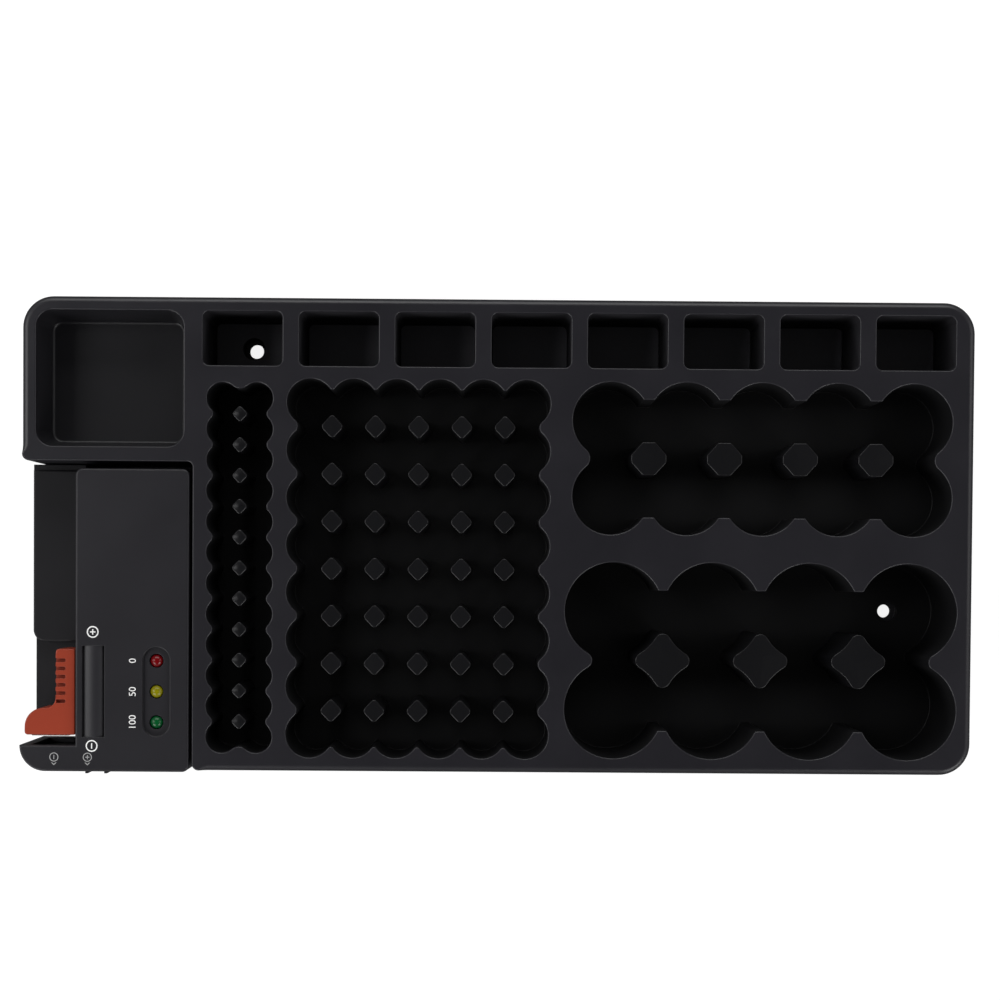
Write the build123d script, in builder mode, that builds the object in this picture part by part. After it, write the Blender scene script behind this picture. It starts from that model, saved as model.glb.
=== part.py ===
from build123d import *
import math
import os

# Battery storage drawer case: a moulded tray with shaped wells for round cells, pockets for
# block cells, a tray for button cells, and a lift-out tester with a sliding contact arm.
# Millimetres. +X runs along the tray, +Y to its back edge, +Z up. The origin is on the table,
# under the middle of the whole case.

# Tray shell
tray_height = 45.0
shell_wall = 2.2
outer_corner_radius = 11.0
bay_outer_radius = 3.0
bay_inner_radius = 2.0
bay_front_radius = 2.4
rim_fillet = 2.0
well_wall = 1.8
well_floor = 2.0

# Lands, the strips of deck between the openings
edge_land = 4.9
bay_land = 4.9
aaa_aa_land = 4.95
aa_d_land = 5.6
right_land = 5.5
coin_pocket_land = 6.6
pocket_right_land = 6.9
front_land = 4.9
pocket_land = 4.4
c_d_land = 9.7

# AAA cells
aaa_columns = 2
aaa_rows = 12
aaa_pitch_x = 12.0
aaa_pitch_y = 10.83
aaa_bore = 11.2
aaa_floor = 17.0
aaa_rib_tip_x = 3.2
aaa_rib_tip_y = 2.0
aaa_post_x = 5.0
aaa_post_y = 5.4
aaa_post_crown = 1.2

# AA cells
aa_columns = 6
aa_rows = 8
aa_pitch_x = 15.19
aa_pitch_y = 16.67
aa_bore = 16.6
aa_floor = 15.0
aa_rib_tip_x = 1.2
aa_rib_tip_y = 2.7
aa_post_x = 7.2
aa_post_y = 7.9
aa_post_crown = 0.4

# C cells
c_columns = 5
c_rows = 2
c_pitch_x = 26.65
c_pitch_y = 26.6
c_bore = 27.0
c_floor = 15.0
c_rib_tip = 3.9
c_post_x = 12.4
c_post_y = 11.5
c_post_crown = 0.8

# D cells
d_columns = 4
d_rows = 2
d_pitch_x = 34.54
d_pitch_y = 34.6
d_bore = 34.6
d_floor = 5.0
d_rib_tip = 3.3
d_post_x = 19.2
d_post_y = 19.0
d_post_crown = 1.6

rib_foot = 0.3
rib_tip_rounding = 0.4
sharp_crown = 0.25
flat_crown = 0.85

# Block cells of nine volts
pocket_count = 8
pocket_pitch = 33.8
pocket_length = 27.95
pocket_width = 19.06
pocket_floor = 10.4
pocket_corner_radius = 2.3

# Button cells
coin_length = 51.8
coin_width = 47.7
coin_floor = 27.0
coin_corner_radius = 5.8
coin_floor_fillet = 2.4

# Screw holes for fixing the case down
boss_diameter = 12.0
screw_seat = 2.4
screw_head_diameter = 8.0
left_screw_hole = 5.3
right_screw_hole = 4.9

# Ledge that carries the tester in its bay
ledge_thickness = 2.4
ledge_reach = 6.0
ledge_height = 3.6

# Tester case
tester_length = 106.8
block_width = 40.0
cradle_width = 18.8
block_corner_radius = 2.4
block_inner_radius = 0.6
face_drop = 0.2
tester_front_reach = 0.6
tester_back_gap = 2.6
tester_side_gap = 1.1
tester_seat_gap = 0.3
jaw_reach = 0.9
jaw_depth = 9.2
jaw_corner_radius = 9.0
jaw_inner_radius = 5.4
base_depth = 5.7
base_floor = 2.0
case_wall = 1.8
face_thickness = 2.4
face_fillet = 0.8
cradle_drop = 18.0
cradle_length = 61.5
cradle_corner_radius = 4.0
cradle_fillet = 0.5
cradle_lip = 2.1
cradle_lip_drop = 0.8
cradle_front_gap = 3.2
recess_drop = 23.0
case_gap = 0.3
slider_gap = 3.55

# Slider
slider_length = 30.4
slider_width = 6.9
slider_height = 15.8
slider_lift = 0.4
finger_depth = 9.5
finger_reach = 11.0
finger_tip_radius = 6.8
finger_root_radius = 3.6
finger_corner_chamfer = 0.9
slider_edge_chamfer = 0.6
grip_grooves = 6
grip_pitch = 2.9
grip_width = 1.1
grip_length = 3.6
grip_depth = 0.8
grip_back_margin = 4.2
tongue_length = 20.0
tongue_height = 4.4
tongue_drop = 6.6
slot_clearance = 0.3
shoe_width = 6.0
shoe_height = 8.0
slider_travel = 58.0

# Face details
bar_recess_length = 32.3
bar_recess_width = 7.9
bar_recess_depth = 1.3
bar_recess_inset = 2.4
bar_recess_front = 12.1
bar_width = 6.7
bar_crown = 0.9
lamp_recess_length = 31.7
lamp_recess_width = 9.7
lamp_recess_depth = 1.1
lamp_inset = 11.5
lamp_pitch = 10.85
lamp_front = 17.5
lamp_diameter = 4.8
lamp_clearance = 0.1
lamp_flange = 5.8
lamp_flange_height = 1.0
lamp_height = 8.4
lamp_top_gap = 0.1

# Electronics
board_side_gap = 0.7
board_thickness = 1.6
board_front_margin = 5.0
pillar_diameter = 4.0
pillar_inset = 2.6
resistor_count = 4
resistor_pitch = 3.4
resistor_length = 6.3
resistor_diameter = 2.2
resistor_front_margin = 6.0
chip_length = 9.8
chip_width = 6.4
chip_height = 3.3
chip_back_margin = 2.5
chip_resistor_gap = 1.7

# Contacts
contact_thickness = 0.4
contact_width = 13.0
contact_margin = 1.2
strip_height = 4.0
wiper_gap = 0.3
snap_spacing = 12.7
snap_from_jaw = 17.6
snap_diameter = 6.0
snap_clearance = 0.05
snap_flange = 8.0
snap_flange_thickness = 0.6
snap_height = 21.0
guide_rib_height = 18.0
guide_rib_width = 2.7
guide_rib_tip = 0.95
guide_rib_reach = 0.9
guide_rib_places = (22.8, 29.5)

# Guide rod and return spring inside the block
rod_diameter = 2.5
rod_clearance = 0.05
spring_diameter = 4.8
spring_bore = 3.3
bulkhead_thickness = 2.0
bulkhead_depth = 13.0
stop_gap = 0.3

# Case screws
case_screw_shank = 2.6
case_screw_clearance = 0.05
case_screw_head = 5.4
case_screw_head_height = 1.4
case_screw_length = 14.0
case_boss_diameter = 6.0
case_boss_inset = 4.0

# Sizes that follow from the ones above
deck_underside = tray_height - shell_wall


def row_length(count, pitch, bore):
    return (count - 1) * pitch + bore


aaa_length = row_length(aaa_columns, aaa_pitch_x, aaa_bore)
aaa_width = row_length(aaa_rows, aaa_pitch_y, aaa_bore)
aa_length = row_length(aa_columns, aa_pitch_x, aa_bore)
aa_width = row_length(aa_rows, aa_pitch_y, aa_bore)
c_length = row_length(c_columns, c_pitch_x, c_bore)
c_width = row_length(c_rows, c_pitch_y, c_bore)
d_length = row_length(d_columns, d_pitch_x, d_bore)
d_width = row_length(d_rows, d_pitch_y, d_bore)
pocket_row_length = row_length(pocket_count, pocket_pitch, pocket_length)

tester_width = cradle_width + block_width
bay_width = tester_width + tester_side_gap
bay_length = tester_length - tester_front_reach + tester_back_gap
large_cell_length = max(c_length, d_length)
cell_field_width = max(aaa_width, aa_width, c_width + c_d_land + d_width)

coin_column = edge_land + coin_length + coin_pocket_land
field_start = max(bay_width + bay_land, coin_column)
lower_row = field_start + aaa_length + aaa_aa_land + aa_length + aa_d_land
lower_row = lower_row + large_cell_length + right_land
upper_row = coin_column + pocket_row_length + pocket_right_land
tray_length = max(lower_row, upper_row)
left_column = bay_length + edge_land + coin_width + edge_land
right_column = front_land + cell_field_width + pocket_land + pocket_width + edge_land
tray_width = max(left_column, right_column)

# The case reaches past the tray at the jaw and at the guide ribs on the tester's front
front_overhang = tester_front_reach + guide_rib_reach
tray_left = -(tray_length + jaw_reach) / 2 + jaw_reach
tray_right = tray_left + tray_length
tray_front = -(tray_width + front_overhang) / 2 + front_overhang
tray_back = tray_front + tray_width
bay_right = tray_left + bay_width
bay_back = tray_front + bay_length

# Well centres
aaa_x = tray_left + field_start + aaa_length / 2
aa_x = aaa_x + aaa_length / 2 + aaa_aa_land + aa_length / 2
large_x = aa_x + aa_length / 2 + aa_d_land + large_cell_length / 2
pocket_y = tray_back - edge_land - pocket_width / 2
field_y = pocket_y - pocket_width / 2 - pocket_land - cell_field_width / 2
c_d_front = field_y - (c_width + c_d_land + d_width) / 2
d_y = c_d_front + d_width / 2
c_y = c_d_front + d_width + c_d_land + c_width / 2
coin_x = tray_left + edge_land + coin_length / 2
coin_y = tray_back - edge_land - coin_width / 2
first_pocket_x = coin_x + coin_length / 2 + coin_pocket_land + pocket_length / 2

# Screw hole centres: the first pocket, and the last cell of the back row of D cells
left_hole_x = first_pocket_x
left_hole_y = pocket_y
right_hole_x = large_x + (d_columns - 1) * d_pitch_x / 2
right_hole_y = d_y + d_pitch_y / 2

# Tester datum planes
face_top = tray_height - face_drop
cavity_top = face_top - face_thickness
tester_bottom = ledge_height + ledge_thickness + tester_seat_gap
split_plane = tester_bottom + base_depth
block_right = bay_right - tester_side_gap
block_left = block_right - block_width
cradle_left = block_left - cradle_width
tester_back = bay_back - tester_back_gap
tester_front = tester_back - tester_length
jaw_left = cradle_left - jaw_reach
jaw_right = block_left + jaw_corner_radius
jaw_back = tester_front + jaw_depth
cradle_top = tray_height - cradle_drop
recess_top = tray_height - recess_drop
cradle_front = tester_back - cradle_length
window_mid = (cradle_left + block_left) / 2
window_bottom = split_plane + case_wall
window_top = cavity_top - case_gap
snap_mid = jaw_left + snap_from_jaw
snap_z = split_plane + snap_height
slider_front = jaw_back + slider_gap
slider_back = slider_front + slider_length
slider_right = block_left - case_gap
slider_left = slider_right - slider_width
finger_left = slider_left - finger_reach
finger_back = slider_front + finger_depth
slider_bottom = cradle_top + slider_lift
slider_top = slider_bottom + slider_height
tongue_top = slider_top - tongue_drop
tongue_bottom = tongue_top - tongue_height
tongue_y = (slider_front + slider_back) / 2
track_face = block_left + case_wall + contact_thickness
shoe_left = block_left + case_wall + case_gap
shoe_front = tongue_y - tongue_length / 2
rod_x = shoe_left + shoe_width / 2
rod_z = (tongue_bottom + tongue_top) / 2
rod_front = shoe_front - stop_gap
rod_back = tester_back - case_wall
spring_front = shoe_front + tongue_length + stop_gap
track_bottom = rod_z - shoe_height / 2 - case_gap - strip_height
boss_top = track_bottom - case_gap
bar_x = block_left + bar_recess_inset + bar_recess_width / 2
bar_y = tester_front + bar_recess_front + bar_recess_length / 2
lamp_row_x = block_right - lamp_inset
lamp_row_y = tester_front + lamp_front + lamp_pitch
lamp_top = face_top - lamp_top_gap
board_top = lamp_top - lamp_height
board_bottom = board_top - board_thickness
board_width = 2 * (lamp_inset - case_wall - board_side_gap)
resistor_row = (resistor_count - 1) * resistor_pitch + resistor_diameter / 2
board_length = board_front_margin + 2 * lamp_pitch + resistor_front_margin + resistor_row
board_length = board_length + chip_resistor_gap + chip_length + chip_back_margin
board_front = lamp_row_y - lamp_pitch - board_front_margin
board_y = board_front + board_length / 2
first_resistor_y = lamp_row_y + lamp_pitch + resistor_front_margin
chip_y = board_front + board_length - chip_back_margin - chip_length / 2


def round_bar(centre_x, centre_y, bottom, top, diameter):
    # An upright cylinder between two heights
    with BuildPart() as bar:
        with BuildSketch(Plane.XY.offset(bottom)):
            with Locations((centre_x, centre_y)):
                Circle(diameter / 2)
        extrude(amount=top - bottom)
    return bar.part


def block(x_low, x_high, y_low, y_high, z_low, z_high):
    # A plain block between opposite corners
    with BuildPart() as solid:
        with BuildSketch(Plane.XY.offset(z_low)):
            with Locations(((x_low + x_high) / 2, (y_low + y_high) / 2)):
                Rectangle(x_high - x_low, y_high - y_low)
        extrude(amount=z_high - z_low)
    return solid.part


def tray_outline(inset):
    # The tray seen from above, with the tester's bay cut out of its front left corner
    with BuildSketch() as outline:
        with BuildLine():
            Polyline(
                (bay_right + inset, tray_front + inset),
                (tray_right - inset, tray_front + inset),
                (tray_right - inset, tray_back - inset),
                (tray_left + inset, tray_back - inset),
                (tray_left + inset, bay_back + inset),
                (bay_right + inset, bay_back + inset),
                close=True,
            )
        make_face()
        rounded_corners = (
            (tray_right - inset, tray_front + inset, outer_corner_radius - inset),
            (tray_right - inset, tray_back - inset, outer_corner_radius - inset),
            (tray_left + inset, tray_back - inset, outer_corner_radius - inset),
            (tray_left + inset, bay_back + inset, bay_outer_radius - inset),
            (bay_right + inset, tray_front + inset, bay_front_radius - inset),
            (bay_right + inset, bay_back + inset, bay_inner_radius + inset),
        )
        for corner_x, corner_y, radius in rounded_corners:
            nearest = outline.vertices().sort_by_distance((corner_x, corner_y))[0]
            fillet(nearest, radius)
    return outline.sketch


def opening_cut(centre_x, centre_y, length, width, corner_radius):
    # The room that an opening takes out of the deck
    with BuildPart() as cut:
        with BuildSketch(Plane.XY.offset(deck_underside)):
            with Locations((centre_x, centre_y)):
                RectangleRounded(length, width, corner_radius)
        extrude(amount=shell_wall)
    return cut.part


def open_box(centre_x, centre_y, length, width, corner_radius, floor_top):
    # A well hung under the deck: side walls and a floor
    with BuildPart() as box:
        with BuildSketch(Plane.XY.offset(floor_top - well_floor)):
            with Locations((centre_x, centre_y)):
                RectangleRounded(
                    length + 2 * well_wall, width + 2 * well_wall, corner_radius + well_wall
                )
        extrude(amount=deck_underside - floor_top + well_floor)
        with BuildSketch(Plane.XY.offset(floor_top)):
            with Locations((centre_x, centre_y)):
                RectangleRounded(length, width, corner_radius)
        extrude(amount=deck_underside - floor_top, mode=Mode.SUBTRACT)
    return box.part


def rib_profile(pitch, bore, tip):
    # The cusp between two neighbouring cells, foot on the X axis and tip towards +Y
    radius = bore / 2
    height = radius - math.sqrt(radius**2 - ((pitch - tip) / 2) ** 2)
    foot_half = pitch / 2 - math.sqrt(radius**2 - (radius - rib_foot) ** 2)
    with BuildSketch() as profile:
        with Locations((0, height / 2)):
            Rectangle(2 * foot_half, height)
        with Locations((-pitch / 2, radius), (pitch / 2, radius)):
            Circle(radius, mode=Mode.SUBTRACT)
        fillet(profile.vertices().group_by(Axis.Y)[-1], tip * rib_tip_rounding)
    return profile.sketch


def well_ribs(centre, size, counts, pitches, bore, tips, floor_top):
    # Cusped ribs along the four walls of a well, between every two cells that touch the wall
    with BuildPart() as ribs:
        with BuildSketch(Plane.XY.offset(floor_top)):
            along_x = rib_profile(pitches[0], bore, tips[0])
            for index in range(counts[0] - 1):
                rib_x = centre[0] + (index + 1 - counts[0] / 2) * pitches[0]
                with Locations(Location((rib_x, centre[1] - size[1] / 2))):
                    add(along_x)
                with Locations(Location((rib_x, centre[1] + size[1] / 2), (0, 0, 180))):
                    add(along_x)
            along_y = rib_profile(pitches[1], bore, tips[1])
            for index in range(counts[1] - 1):
                rib_y = centre[1] + (index + 1 - counts[1] / 2) * pitches[1]
                with Locations(Location((centre[0] - size[0] / 2, rib_y), (0, 0, -90))):
                    add(along_y)
                with Locations(Location((centre[0] + size[0] / 2, rib_y), (0, 0, 90))):
                    add(along_y)
        extrude(amount=tray_height - floor_top)
    return ribs.part


def straight_post_profile(across_x, across_y, pitches, bore):
    # A diamond with its points cut off, its slant sides touching the cells around it
    reach = (pitches[0] + pitches[1]) / 2 - math.sqrt(2) * bore / 2
    with BuildSketch() as profile:
        Rectangle(across_x, across_y)
        Rectangle(reach * math.sqrt(2), reach * math.sqrt(2), rotation=45, mode=Mode.INTERSECT)
    return profile.sketch


def hollow_post_profile(across_x, across_y, pitches, bore):
    # A four-pointed post whose sides follow the cells around it
    with BuildSketch() as profile:
        Rectangle(across_x, across_y)
        with GridLocations(pitches[0], pitches[1], 2, 2):
            Circle(bore / 2, mode=Mode.SUBTRACT)
    return profile.sketch


def one_post(profile, floor_top, crown, crown_scale=sharp_crown):
    # A post from the well's floor up to a low pyramid that is level with the deck
    with BuildPart() as post:
        with BuildSketch(Plane.XY.offset(floor_top)):
            add(profile)
        extrude(amount=tray_height - crown - floor_top)
        with BuildSketch(Plane.XY.offset(tray_height - crown)):
            add(profile)
        with BuildSketch(Plane.XY.offset(tray_height)):
            add(scale(profile, by=crown_scale, mode=Mode.PRIVATE))
        loft(ruled=True)
    return post.part


def post_grid(post, centre, counts, pitches):
    # One post where every four cells meet
    with BuildPart() as posts:
        with Locations((centre[0], centre[1], 0)):
            with GridLocations(pitches[0], pitches[1], counts[0] - 1, counts[1] - 1):
                add(post)
    return posts.part


# Tray shell: deck, rim and side walls in one thin skin, open underneath
with BuildPart() as tray_shell:
    with BuildSketch():
        add(tray_outline(0))
    extrude(amount=tray_height)
    fillet(tray_shell.faces().sort_by(Axis.Z)[-1].outer_wire().edges(), rim_fillet)
    with BuildSketch():
        add(tray_outline(shell_wall))
    extrude(amount=deck_underside, mode=Mode.SUBTRACT)
    add(
        opening_cut(coin_x, coin_y, coin_length, coin_width, coin_corner_radius),
        mode=Mode.SUBTRACT,
    )
    for index in range(pocket_count):
        add(
            opening_cut(
                first_pocket_x + index * pocket_pitch,
                pocket_y,
                pocket_length,
                pocket_width,
                pocket_corner_radius,
            ),
            mode=Mode.SUBTRACT,
        )
    add(opening_cut(aaa_x, field_y, aaa_length, aaa_width, aaa_bore / 2), mode=Mode.SUBTRACT)
    add(opening_cut(aa_x, field_y, aa_length, aa_width, aa_bore / 2), mode=Mode.SUBTRACT)
    add(opening_cut(large_x, c_y, c_length, c_width, c_bore / 2), mode=Mode.SUBTRACT)
    add(opening_cut(large_x, d_y, d_length, d_width, d_bore / 2), mode=Mode.SUBTRACT)

# Well for button cells, with a rounded floor corner to roll them out by
with BuildPart() as coin_well:
    add(open_box(coin_x, coin_y, coin_length, coin_width, coin_corner_radius, coin_floor))
    floor_face = coin_well.faces().filter_by(Axis.Z).sort_by(Axis.Z)[1]
    fillet(floor_face.edges(), coin_floor_fillet)

# Pockets for block cells; the first one has a screw hole in its floor
with BuildPart() as nine_volt_pockets:
    for index in range(pocket_count):
        add(
            open_box(
                first_pocket_x + index * pocket_pitch,
                pocket_y,
                pocket_length,
                pocket_width,
                pocket_corner_radius,
                pocket_floor,
            )
        )
    add(
        round_bar(left_hole_x, left_hole_y, 0, tray_height, screw_head_diameter),
        mode=Mode.SUBTRACT,
    )

# Wells for round cells; the D well has the other screw hole in its floor
with BuildPart() as aaa_well:
    add(open_box(aaa_x, field_y, aaa_length, aaa_width, aaa_bore / 2, aaa_floor))

with BuildPart() as aa_well:
    add(open_box(aa_x, field_y, aa_length, aa_width, aa_bore / 2, aa_floor))

with BuildPart() as c_well:
    add(open_box(large_x, c_y, c_length, c_width, c_bore / 2, c_floor))

with BuildPart() as d_well:
    add(open_box(large_x, d_y, d_length, d_width, d_bore / 2, d_floor))
    add(
        round_bar(right_hole_x, right_hole_y, 0, tray_height, screw_head_diameter),
        mode=Mode.SUBTRACT,
    )

# Cusped ribs on the well walls
with BuildPart() as aaa_ribs:
    add(
        well_ribs(
            (aaa_x, field_y),
            (aaa_length, aaa_width),
            (aaa_columns, aaa_rows),
            (aaa_pitch_x, aaa_pitch_y),
            aaa_bore,
            (aaa_rib_tip_x, aaa_rib_tip_y),
            aaa_floor,
        )
    )

with BuildPart() as aa_ribs:
    add(
        well_ribs(
            (aa_x, field_y),
            (aa_length, aa_width),
            (aa_columns, aa_rows),
            (aa_pitch_x, aa_pitch_y),
            aa_bore,
            (aa_rib_tip_x, aa_rib_tip_y),
            aa_floor,
        )
    )

with BuildPart() as c_ribs:
    add(
        well_ribs(
            (large_x, c_y),
            (c_length, c_width),
            (c_columns, c_rows),
            (c_pitch_x, c_pitch_y),
            c_bore,
            (c_rib_tip, c_rib_tip),
            c_floor,
        )
    )

with BuildPart() as d_ribs:
    add(
        well_ribs(
            (large_x, d_y),
            (d_length, d_width),
            (d_columns, d_rows),
            (d_pitch_x, d_pitch_y),
            d_bore,
            (d_rib_tip, d_rib_tip),
            d_floor,
        )
    )

# Posts between the cells
aaa_post_profile = straight_post_profile(
    aaa_post_x, aaa_post_y, (aaa_pitch_x, aaa_pitch_y), aaa_bore
)
aa_post_profile = straight_post_profile(aa_post_x, aa_post_y, (aa_pitch_x, aa_pitch_y), aa_bore)
c_post_profile = straight_post_profile(c_post_x, c_post_y, (c_pitch_x, c_pitch_y), c_bore)
d_post_profile = hollow_post_profile(d_post_x, d_post_y, (d_pitch_x, d_pitch_y), d_bore)

with BuildPart() as aaa_posts:
    add(
        post_grid(
            one_post(aaa_post_profile, aaa_floor, aaa_post_crown),
            (aaa_x, field_y),
            (aaa_columns, aaa_rows),
            (aaa_pitch_x, aaa_pitch_y),
        )
    )

with BuildPart() as aa_posts:
    add(
        post_grid(
            one_post(aa_post_profile, aa_floor, aa_post_crown, crown_scale=flat_crown),
            (aa_x, field_y),
            (aa_columns, aa_rows),
            (aa_pitch_x, aa_pitch_y),
        )
    )

with BuildPart() as c_posts:
    add(
        post_grid(
            one_post(c_post_profile, c_floor, c_post_crown),
            (large_x, c_y),
            (c_columns, c_rows),
            (c_pitch_x, c_pitch_y),
        )
    )

with BuildPart() as d_posts:
    add(
        post_grid(
            one_post(d_post_profile, d_floor, d_post_crown),
            (large_x, d_y),
            (d_columns, d_rows),
            (d_pitch_x, d_pitch_y),
        )
    )

# Screw bosses from the table up to the two holed floors
with BuildPart() as screw_bosses:
    left_boss_top = pocket_floor - well_floor
    right_boss_top = d_floor - well_floor
    add(round_bar(left_hole_x, left_hole_y, 0, left_boss_top, boss_diameter))
    add(round_bar(right_hole_x, right_hole_y, 0, right_boss_top, boss_diameter))
    add(
        round_bar(left_hole_x, left_hole_y, 0, left_boss_top, left_screw_hole),
        mode=Mode.SUBTRACT,
    )
    add(
        round_bar(right_hole_x, right_hole_y, 0, right_boss_top, right_screw_hole),
        mode=Mode.SUBTRACT,
    )
    add(
        round_bar(left_hole_x, left_hole_y, screw_seat, left_boss_top, screw_head_diameter),
        mode=Mode.SUBTRACT,
    )
    add(
        round_bar(right_hole_x, right_hole_y, screw_seat, right_boss_top, screw_head_diameter),
        mode=Mode.SUBTRACT,
    )

# Ledge round the bay that the tester sits on
with BuildPart() as tester_ledge:
    ledge_top = ledge_height + ledge_thickness
    side_front = tray_front + bay_front_radius
    back_front = bay_back - ledge_reach
    back_left = tray_left + bay_outer_radius
    add(
        block(
            bay_right - ledge_reach,
            bay_right,
            side_front,
            back_front,
            ledge_height,
            ledge_top,
        )
    )
    add(
        block(
            back_left,
            bay_right - bay_inner_radius,
            back_front,
            bay_back,
            ledge_height,
            ledge_top,
        )
    )


def case_screw_places():
    # Four screws, one near each corner of the tester's block
    low_x = block_left + case_boss_inset
    high_x = block_right - case_boss_inset
    low_y = tester_front + case_boss_inset
    high_y = tester_back - case_boss_inset
    return ((low_x, low_y), (high_x, low_y), (low_x, high_y), (high_x, high_y))


def tester_outline(left, right, front, back, front_left_radius):
    # A rectangle whose front left corner is rounded
    with BuildSketch() as outline:
        with Locations(((left + right) / 2, (front + back) / 2)):
            Rectangle(right - left, back - front)
        fillet(outline.vertices().sort_by_distance((left, front))[0], front_left_radius)
    return outline.sketch


def block_outline(inset, radius):
    # The tester's block from above; the jaw covers its front left corner
    with BuildSketch() as outline:
        with Locations(((block_left + block_right) / 2, (tester_front + tester_back) / 2)):
            Rectangle(block_width - 2 * inset, tester_length - 2 * inset)
        rounded_corners = (
            (block_right - inset, tester_front + inset),
            (block_right - inset, tester_back - inset),
            (block_left + inset, tester_back - inset),
        )
        for corner in rounded_corners:
            fillet(outline.vertices().sort_by_distance(corner)[0], radius)
    return outline.sketch


# Tester's front cover: the raised block and the fixed jaw, open at the bottom
with BuildPart() as front_cover:
    with BuildSketch(Plane.XY.offset(split_plane)):
        add(block_outline(0, block_corner_radius))
        add(tester_outline(jaw_left, jaw_right, tester_front, jaw_back, jaw_corner_radius))
    extrude(amount=face_top - split_plane)
    fillet(front_cover.faces().sort_by(Axis.Z)[-1].outer_wire().edges(), face_fillet)
    with BuildSketch(Plane.XY.offset(split_plane)):
        add(block_outline(case_wall, block_inner_radius))
        add(
            tester_outline(
                jaw_left + case_wall,
                jaw_right,
                tester_front + case_wall,
                jaw_back - case_wall,
                jaw_inner_radius,
            )
        )
    extrude(amount=cavity_top - split_plane, mode=Mode.SUBTRACT)
    # Bosses for the case screws
    for place_x, place_y in case_screw_places():
        add(round_bar(place_x, place_y, split_plane, boss_top, case_boss_diameter))
        add(
            round_bar(
                place_x,
                place_y,
                split_plane,
                tester_bottom + case_screw_head_height + case_screw_length,
                case_screw_shank + 2 * case_screw_clearance,
            ),
            mode=Mode.SUBTRACT,
        )
    # Slot that the slider's tongue runs in
    slot_front = tongue_y - tongue_length / 2 - slot_clearance
    slot_back = tongue_y + tongue_length / 2 + slider_travel + slot_clearance
    add(
        block(
            block_left,
            block_left + case_wall,
            slot_front,
            slot_back,
            tongue_bottom - slot_clearance,
            tongue_top + slot_clearance,
        ),
        mode=Mode.SUBTRACT,
    )
    # Bulkhead that holds the rod's front end and stops the shoe
    add(
        block(
            block_left + case_wall,
            rod_x + shoe_width / 2,
            rod_front - bulkhead_thickness,
            rod_front,
            cavity_top - bulkhead_depth,
            cavity_top,
        )
    )
    # Window in the jaw for the fixed contact
    add(
        block(
            window_mid - contact_width / 2,
            window_mid + contact_width / 2,
            jaw_back - case_wall,
            jaw_back,
            window_bottom,
            window_top,
        ),
        mode=Mode.SUBTRACT,
    )
    # Recess under the crowned bar
    with BuildSketch(Plane.XY.offset(face_top - bar_recess_depth)):
        with Locations((bar_x, bar_y)):
            Rectangle(bar_recess_width, bar_recess_length)
    extrude(amount=bar_recess_depth, mode=Mode.SUBTRACT)
    # Long recess round the three lamps, with a hole for each
    with BuildSketch(Plane.XY.offset(face_top - lamp_recess_depth)):
        with Locations((lamp_row_x, lamp_row_y)):
            SlotOverall(lamp_recess_length, lamp_recess_width, rotation=90)
    extrude(amount=lamp_recess_depth, mode=Mode.SUBTRACT)
    with BuildSketch(Plane.XY.offset(cavity_top)):
        with Locations((lamp_row_x, lamp_row_y)):
            with GridLocations(lamp_pitch, lamp_pitch, 1, 3):
                Circle(lamp_diameter / 2 + lamp_clearance)
    extrude(amount=face_thickness, mode=Mode.SUBTRACT)
    # Holes for the snap contacts, and ribs that keep a block cell square to them
    with BuildSketch(Plane.XZ.offset(-tester_front)):
        with Locations((snap_mid, snap_z)):
            with GridLocations(snap_spacing, snap_spacing, 2, 1):
                Circle(snap_diameter / 2)
    extrude(amount=-case_wall, mode=Mode.SUBTRACT)
    for place in guide_rib_places:
        rib_x = jaw_left + place
        with BuildSketch(Plane.XY.offset(snap_z - guide_rib_height / 2)):
            with BuildLine():
                Polyline(
                    (rib_x, tester_front),
                    (rib_x, tester_front - guide_rib_reach),
                    (rib_x + guide_rib_tip, tester_front - guide_rib_reach),
                    (rib_x + guide_rib_width, tester_front),
                    close=True,
                )
            make_face()
        extrude(amount=guide_rib_height)

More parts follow.
